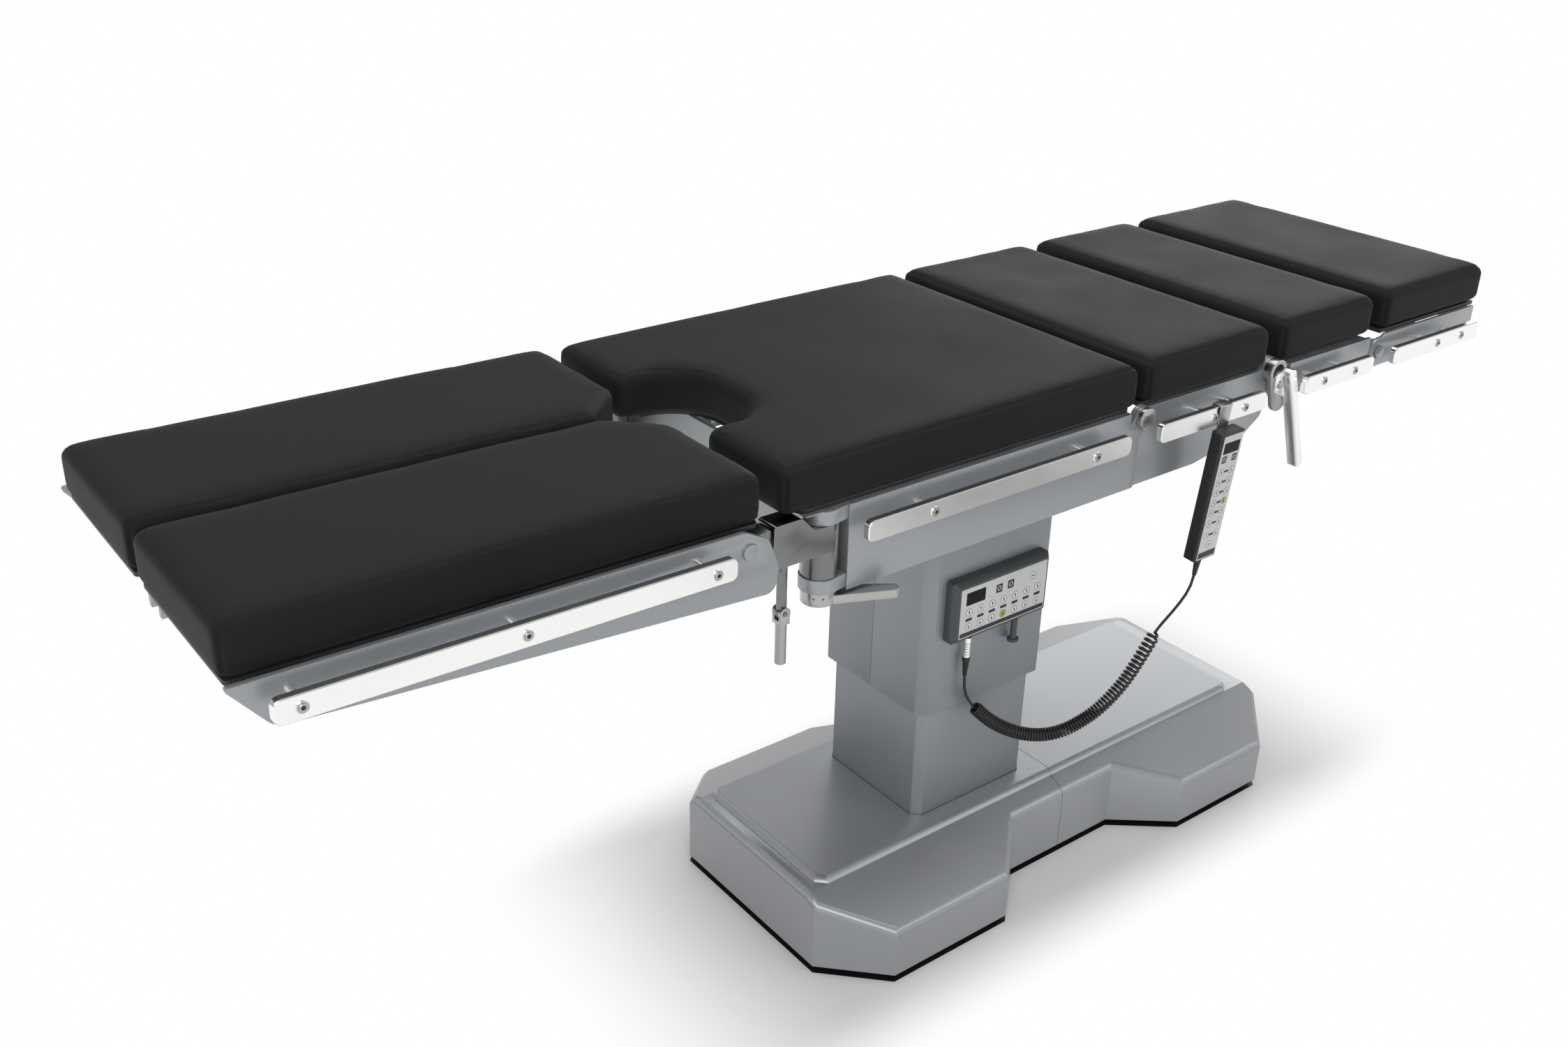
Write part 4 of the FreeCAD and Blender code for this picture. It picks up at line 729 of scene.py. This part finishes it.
def pad_piece(node, body, keep=None):
    """A pad that rides on its body; where keep is given, as for the back and head sections, the pad gets a
    mesh of its own.
    """
    pad = pad_blank(node)
    swell(pad)
    finer = pad.modifiers.new("finer", "SUBSURF")
    finer.levels = 1
    finer.render_levels = 1
    apply_modifiers(pad)
    sew(pad, node)
    pad.data.shade_smooth()
    pad.data.materials.clear()
    pad.data.materials.append(FINISH["pad_cover"])
    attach(pad, body)
    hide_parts(node)
    if keep:
        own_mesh(pad)


def cushions():
    pad_piece("seat_cushion", "seat")
    pad_piece("lower_back_cushion", "lower_back", 0.745)
    pad_piece("upper_back_cushion", "upper_back", 0.89)
    pad_piece("head_cushion", "head", 0.765)
    for side_name, _ in SIDES:
        pad_piece("leg_cushion_" + side_name, "leg_" + side_name)


# rail screws: washers and socket heads over the CAD heads
def screw_centres(node, side):
    """Centres of the screw heads that stand proudest on one side of a rail node."""
    low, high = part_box(node)
    front = low.y if side == NEAR else high.y
    heads = []
    for point in sorted((v.co for v in nodes[node].data.vertices if abs(v.co.y - front) < 0.0002),
                        key=lambda p: p.x):
        if not heads or point.x - heads[-1][-1].x > 0.015:
            heads.append([])
        heads[-1].append(point)
    centres = []
    for head in heads:
        centres.append(Vector(((head[0].x + head[-1].x) / 2, front,
                               (min(p.z for p in head) + max(p.z for p in head)) / 2)))
    return centres


def screws(name, places, body, size=MM):
    """Socket heads with a washer edge, on faces whose outward direction is each place's Z axis."""
    rings = bmesh.new()
    socket_shade = bmesh.new()
    for place in places:
        head = [(2.5, 0), (2.5, 1.1), (4.0, 1.1), (4.6, 0.6), (4.6, 0.15), (6.2, 0.15), (6.5, -0.1)]
        add_turned(rings, [(radius * size, height * size) for radius, height in head], place, 24)
        # each socket is a flat black hexagon laid on the head: painted shade of the socket's hollow
        add_turned(socket_shade, [(0, 0.12 * size), (2.7 * size, 0.12 * size), (2.7 * size, 0)], place, 6)
    new_piece(name + "_screw_heads", rings, "cast_steel", body)
    new_piece(name + "_screw_sockets", socket_shade, "print_and_shade_black", body)


def rail_screws(node, body, sides=(NEAR, FAR)):
    places = [facing(centre, side) for side in sides for centre in screw_centres(node, side)]
    screws(node, places, body)


shroud_screw_rise = 4.5 * MM
shroud_screw_side = 22 * MM
shroud_screw_size = 0.42 * MM
boss_radius = 22 * MM
boss_y = 237 * MM
set_screw_drop = 7 * MM
set_screw_angles = (217, 248)
set_screw_size = 0.5 * MM


def shroud_screws():
    """Small screws at the lower rim of the column's shroud, one at each end."""
    low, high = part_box("column_shroud")
    level = low.z + shroud_screw_rise
    screws("column_shroud", [axes((low.x, shroud_screw_side, level), (0, -1, 0), (0, 0, 1)),
                             axes((high.x, -shroud_screw_side, level), (0, 1, 0), (0, 0, 1))],
           "lift", shroud_screw_size)


def clamp_set_screws():
    """Set screws round the boss of each clamp lever."""
    for side_name, side in SIDES:
        lever = "clamp_lever_" + side_name
        boss_low, boss_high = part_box(lever)
        centre = Vector((boss_low.x + boss_radius, side * boss_y, boss_high.z - set_screw_drop))
        places = []
        for angle in map(math.radians, set_screw_angles):
            out = Vector((math.cos(angle), -side * math.sin(angle), 0))
            places.append(axes(centre + out * boss_radius, Vector((0, 0, 1)).cross(out), (0, 0, 1)))
        screws(lever, places, lever + "_body", set_screw_size)


def all_rail_screws():
    for node, body in (("seat_rails", "seat"), ("lower_back_rails", "lower_back"),
                       ("upper_back_rails", "upper_back"), ("head_rails", "head")):
        rail_screws(node, body)
    for side_name, side in SIDES:
        rail_screws("leg_rail_" + side_name, "leg_" + side_name, (side,))


# membrane keys of the control box and the hand control
key_radius = 6 * MM
print_height = 0.12 * MM


def rounded_corners(width, height, radius, steps=4):
    """Corner points of a rounded rectangle about its centre."""
    points = []
    for quarter, (across, along) in enumerate(((1, 1), (-1, 1), (-1, -1), (1, -1))):
        for step in range(steps + 1):
            angle = (quarter + step / steps) * math.pi / 2
            points.append((across * (width / 2 - radius) + radius * math.cos(angle),
                           along * (height / 2 - radius) + radius * math.sin(angle)))
    return points


def shifted(points, u, v):
    return [(u + x, v + y) for x, y in points]


ARROW = ((0, 3.4), (-2.4, 0.2), (-0.8, 0.2), (-0.8, -3.2), (0.8, -3.2), (0.8, 0.2), (2.4, 0.2))


class Foil:
    """A membrane panel that collects its prints by colour."""

    def __init__(self, place):
        self.place = place
        self.prints = {}

    def layer(self, finish):
        return self.prints.setdefault(finish, bmesh.new())

    def patch(self, finish, points, level=1.0):
        add_plate(self.layer(finish), points, print_height * level, self.place)

    def label(self, u, v, width, height, finish="print_and_shade_black", radius=1.5 * MM):
        self.patch(finish, shifted(rounded_corners(width, height, radius), u, v))

    def key(self, u, v, turn=0.0, finish="key_white", radius=key_radius):
        spot = self.place @ Matrix.Translation((u, v, 0))
        add_turned(self.layer(finish), [(0, 3 * print_height), (0.75 * radius, 3 * print_height),
                                        (0.9 * radius, print_height), (0.9 * radius, 0)], spot, 28)
        add_turned(self.layer("print_and_shade_black"), [(0.9 * radius, 0), (0.9 * radius, 2 * print_height),
                                               (radius, 2 * print_height), (radius, 0)], spot, 28)
        size = radius / 6
        cosine, sine = math.cos(turn), math.sin(turn)
        mark = [(u + size * (x * cosine - y * sine), v + size * (x * sine + y * cosine)) for x, y in ARROW]
        self.patch("print_and_shade_black", mark, 3.6)

    def make(self, name, body):
        for finish, bm in self.prints.items():
            new_piece(name + "_" + finish, bm, finish, body, (), 20)


def square_key(foil, u, v, size):
    foil.label(u, v, size, size * 1.12, "print_and_shade_black", 1.2 * MM)
    spot = foil.place @ Matrix.Translation((u, v, 0))
    inner = size * 0.22
    outer = inner * 1.35
    height = 1.6 * print_height
    add_turned(foil.layer("key_white"), [(inner, 0), (inner, height), (outer, height), (outer, 0)], spot, 20)


def control_foil():
    low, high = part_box("control_panel")
    foil = Foil(axes((low.x, low.y, low.z), (1, 0, 0), (0, 0, 1)))
    width = high.x - low.x
    column_start, column_step = 17.7 * MM, 23.4 * MM
    upper, lower, top = 41 * MM, 17 * MM, 63 * MM
    foil.label(29.5 * MM, 63.5 * MM, 38 * MM, 21 * MM, "display", 1 * MM)
    for u in (76.5 * MM, 100 * MM):
        square_key(foil, u, top, 12.5 * MM)
    foil.key(146.6 * MM, top, math.pi / 2)
    for index in range(7):
        u = column_start + index * column_step
        foil.key(u, upper, 0)
        foil.key(u, lower, math.pi, "key_yellow" if index == 3 else "key_white")
        foil.label(u, (upper + lower) / 2, 13 * MM, 4.6 * MM)
    foil.label(width / 2, 5 * MM, width - 3 * MM, 7 * MM, "print_and_shade_black", 0.6 * MM)
    foil.make("control_panel", "lift")


def handset_foil():
    low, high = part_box("handset_panel")
    swing = math.radians(4.77)
    up = (0, -math.sin(swing), math.cos(swing))
    thickness = 0.6 * MM
    base = Vector((low.x, high.y - thickness * math.cos(swing), low.z + thickness * math.sin(swing)))
    foil = Foil(axes(base, (1, 0, 0), up))
    width = high.x - low.x
    left, right = 9.6 * MM, width - 9.6 * MM
    small_key = 5.2 * MM
    foil.label(width / 2, 184 * MM, 34 * MM, 18 * MM, "display", 1 * MM)
    for u in (left, right):
        square_key(foil, u, 166 * MM, 10 * MM)
    for index, v in enumerate((145.4, 128.5, 111.3, 94.5, 78, 60.5, 40.6)):
        foil.key(left, v * MM, 0, "key_white", small_key)
        foil.key(right, v * MM, math.pi, "key_yellow" if index == 3 else "key_white", small_key)
        foil.label(width / 2, v * MM, 9 * MM, 3.6 * MM)
    foil.key(width / 2, 23.5 * MM, math.pi / 2, "key_white", small_key)
    foil.label(width / 2, 7 * MM, width - 3 * MM, 10 * MM, "print_and_shade_black", 0.6 * MM)
    foil.make("handset_panel", "handset")


# plug with a ribbed shell and its rubber boot
def cord_plug():
    low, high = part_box("cord_plug")
    centre = Vector(((low.x + high.x) / 2, (low.y + high.y) / 2, low.z))
    boot_length = 34 * MM
    boot = bmesh.new()
    profile = [(2.5 * MM, 0), (3.2 * MM, 0)]
    for rib in range(5):
        start = (3 + 4 * rib) * MM
        radius = (3.3 + 0.35 * rib) * MM
        profile += [(radius, start), (radius, start + 2.4 * MM), (radius - 0.5 * MM, start + 2.8 * MM)]
    profile += [(5.6 * MM, 25 * MM), (6 * MM, 27 * MM), (6 * MM, boot_length), (0, boot_length)]
    add_turned(boot, profile, Matrix.Translation(centre), 28)
    new_piece("cord_plug_boot", boot, "cord_black", "lift", ("cord_plug",))
    shell = bmesh.new()
    radius = 5.75 * MM
    top = high.z - low.z
    profile = [(0, boot_length), (radius, boot_length)]
    groove = radius - 0.7 * MM
    for ring in range(5):
        start = boot_length + (5 + 4.4 * ring) * MM
        profile += [(radius, start), (groove, start + 0.6 * MM), (groove, start + 1.6 * MM),
                    (radius, start + 2.2 * MM)]
    profile += [(radius, top), (0, top)]
    add_turned(shell, profile, Matrix.Translation(centre), 28)
    new_piece("cord_plug_shell", shell, "bright_steel", "lift")


# curly cord: one spline from the plug, round and round, to the hand control
cord_radius = 2.2 * MM
coil_radius = 8.9 * MM
coil_pitch = 4.8 * MM
coil_end_pitch = 8.8 * MM
coil_even = 200 * MM
coil_points = 12
lead_from_plug = ((-207, -130, 394), (-207, -130, 370), (-197.7, -133.8, 347.7))
coil_route = (
    (-189.6, -138.0, 337.0), (-174.1, -146.1, 316.5), (-143.7, -161.8, 291.7), (-104.7, -182.2, 274.7),
    (-63.7, -203.4, 275.5), (-24.0, -224.1, 300.9), (2.1, -237.7, 330.1), (30.1, -252.2, 376.5),
    (55.5, -265.4, 445.0))
lead_to_handset = ((61, -268, 455.5), (70, -272.5, 469), (87, -279.5, 493), (99.5, -285.45, 519.8),
                   (99.5, -287.12, 539.75))


def spline_line(points, name):
    """The smooth line of a NURBS spline through a route's control points, as a list of places."""
    curve = bpy.data.curves.new(name, "CURVE")
    curve.dimensions = "3D"
    fill_spline(curve, points)
    holder = bpy.data.objects.new(name, curve)
    mesh = bpy.data.meshes.new_from_object(holder)
    line = [vertex.co.copy() for vertex in mesh.vertices]
    bpy.data.meshes.remove(mesh)
    bpy.data.objects.remove(holder)
    bpy.data.curves.remove(curve)
    return line


def fill_spline(curve, points, resolution=12):
    spline = curve.splines.new("NURBS")
    spline.points.add(len(points) - 1)
    for target, point in zip(spline.points, points):
        target.co = (*point, 1)
    spline.order_u = 3
    spline.use_endpoint_u = True
    spline.resolution_u = resolution


def along(line, distance):
    """The place and direction at a distance along a line of points."""
    for start, end in zip(line, line[1:]):
        step = (end - start).length
        if distance <= step:
            return start.lerp(end, distance / step), (end - start).normalized()
        distance -= step
    return line[-1], (line[-1] - line[-2]).normalized()


def coil_turns():
    """Control points of the curled stretch, whose turns open out where its own weight pulls them."""
    line = spline_line([Vector(point) * MM for point in coil_route], "coil axis")
    length = sum((end - start).length for start, end in zip(line, line[1:]))
    stations = [0.0]
    while stations[-1] < length:
        opening = max(0, (stations[-1] - coil_even) / (length - coil_even))
        stations.append(stations[-1] + (coil_pitch + (coil_end_pitch - coil_pitch) * opening) / coil_points)
    count = len(stations) - 1
    _, direction = along(line, 0)
    side = direction.orthogonal().normalized()
    points = []
    for index in range(count + 1):
        place, direction = along(line, length * stations[index] / stations[-1])
        side = (side - direction * side.dot(direction)).normalized()
        other = direction.cross(side)
        angle = math.tau * index / coil_points
        swell_in = min(1, index / coil_points, (count - index) / coil_points)
        reach = coil_radius * math.sin(swell_in * math.pi / 2)
        points.append(place + (side * math.cos(angle) + other * math.sin(angle)) * reach)
    return points


def line_length(line):
    return sum((end - start).length for start, end in zip(line, line[1:]))


def curly_cord():
    points = [Vector(point) * MM for point in lead_from_plug] + coil_turns()
    points += [Vector(point) * MM for point in lead_to_handset]
    curve = bpy.data.curves.new("curly_cord", "CURVE")
    curve.dimensions = "3D"
    fill_spline(curve, points, 2)
    curve.bevel_depth = cord_radius
    curve.bevel_resolution = 3
    curve.use_fill_caps = True
    curve.materials.append(FINISH["cord_black"])
    cord = bpy.data.objects.new("curly_cord", curve)
    bpy.context.scene.collection.objects.link(cord)
    length = line_length(spline_line(points, "cord line"))
    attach(cord, "lift")
    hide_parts("cord_lead_box", "cord_curl", "cord_lead_handset")
    return cord


# the stage: floor, and the darkness in the gap between the base and the floor
def stage_piece(name, bm, material):
    mesh = bpy.data.meshes.new(name)
    bm.to_mesh(mesh)
    bm.free()
    mesh.materials.append(material)
    piece = bpy.data.objects.new(name, mesh)
    bpy.context.scene.collection.objects.link(piece)


# half of the base's outline on the floor, from the leg end to the head end, in millimetres
base_corners = ((-507.8, 161.3), (-421.6, 248.6), (-193.6, 248.6), (-112, 172.6), (118.5, 172.6),
                (213.6, 248.6), (421.6, 248.6), (507.8, 161.3))
shade_lift = 0.2 * MM
shade_thickness = 0.1 * MM


def contact_shade():
    # a thin black sheet on the floor in the base's outline: a painted contact shadow under the base's edge
    half = [(x * MM, y * MM) for x, y in base_corners]
    bm = bmesh.new()
    add_plate(bm, half + [(x, -y) for x, y in reversed(half)], shade_thickness,
              Matrix.Translation((0, 0, shade_lift)))
    bmesh.ops.recalc_face_normals(bm, faces=bm.faces)
    stage_piece("contact_shade", bm, FINISH["print_and_shade_black"])


def studio_floor():
    bm = bmesh.new()
    bmesh.ops.create_grid(bm, x_segments=1, y_segments=1, size=30)
    stage_piece("studio_floor", bm, floor_paper())


bpy.context.scene.view_settings.view_transform = "Standard"
aim_camera()
studio_floor()
contact_shade()
light_studio()
curly_cord()
dress_nodes()
for half in ("base_cover_leg_end", "base_cover_head_end"):
    base_cover(half)
cushions()
for section in plate_middle:
    flanges(section)
all_rail_screws()
shroud_screws()
clamp_set_screws()
cord_plug()
control_foil()
handset_foil()
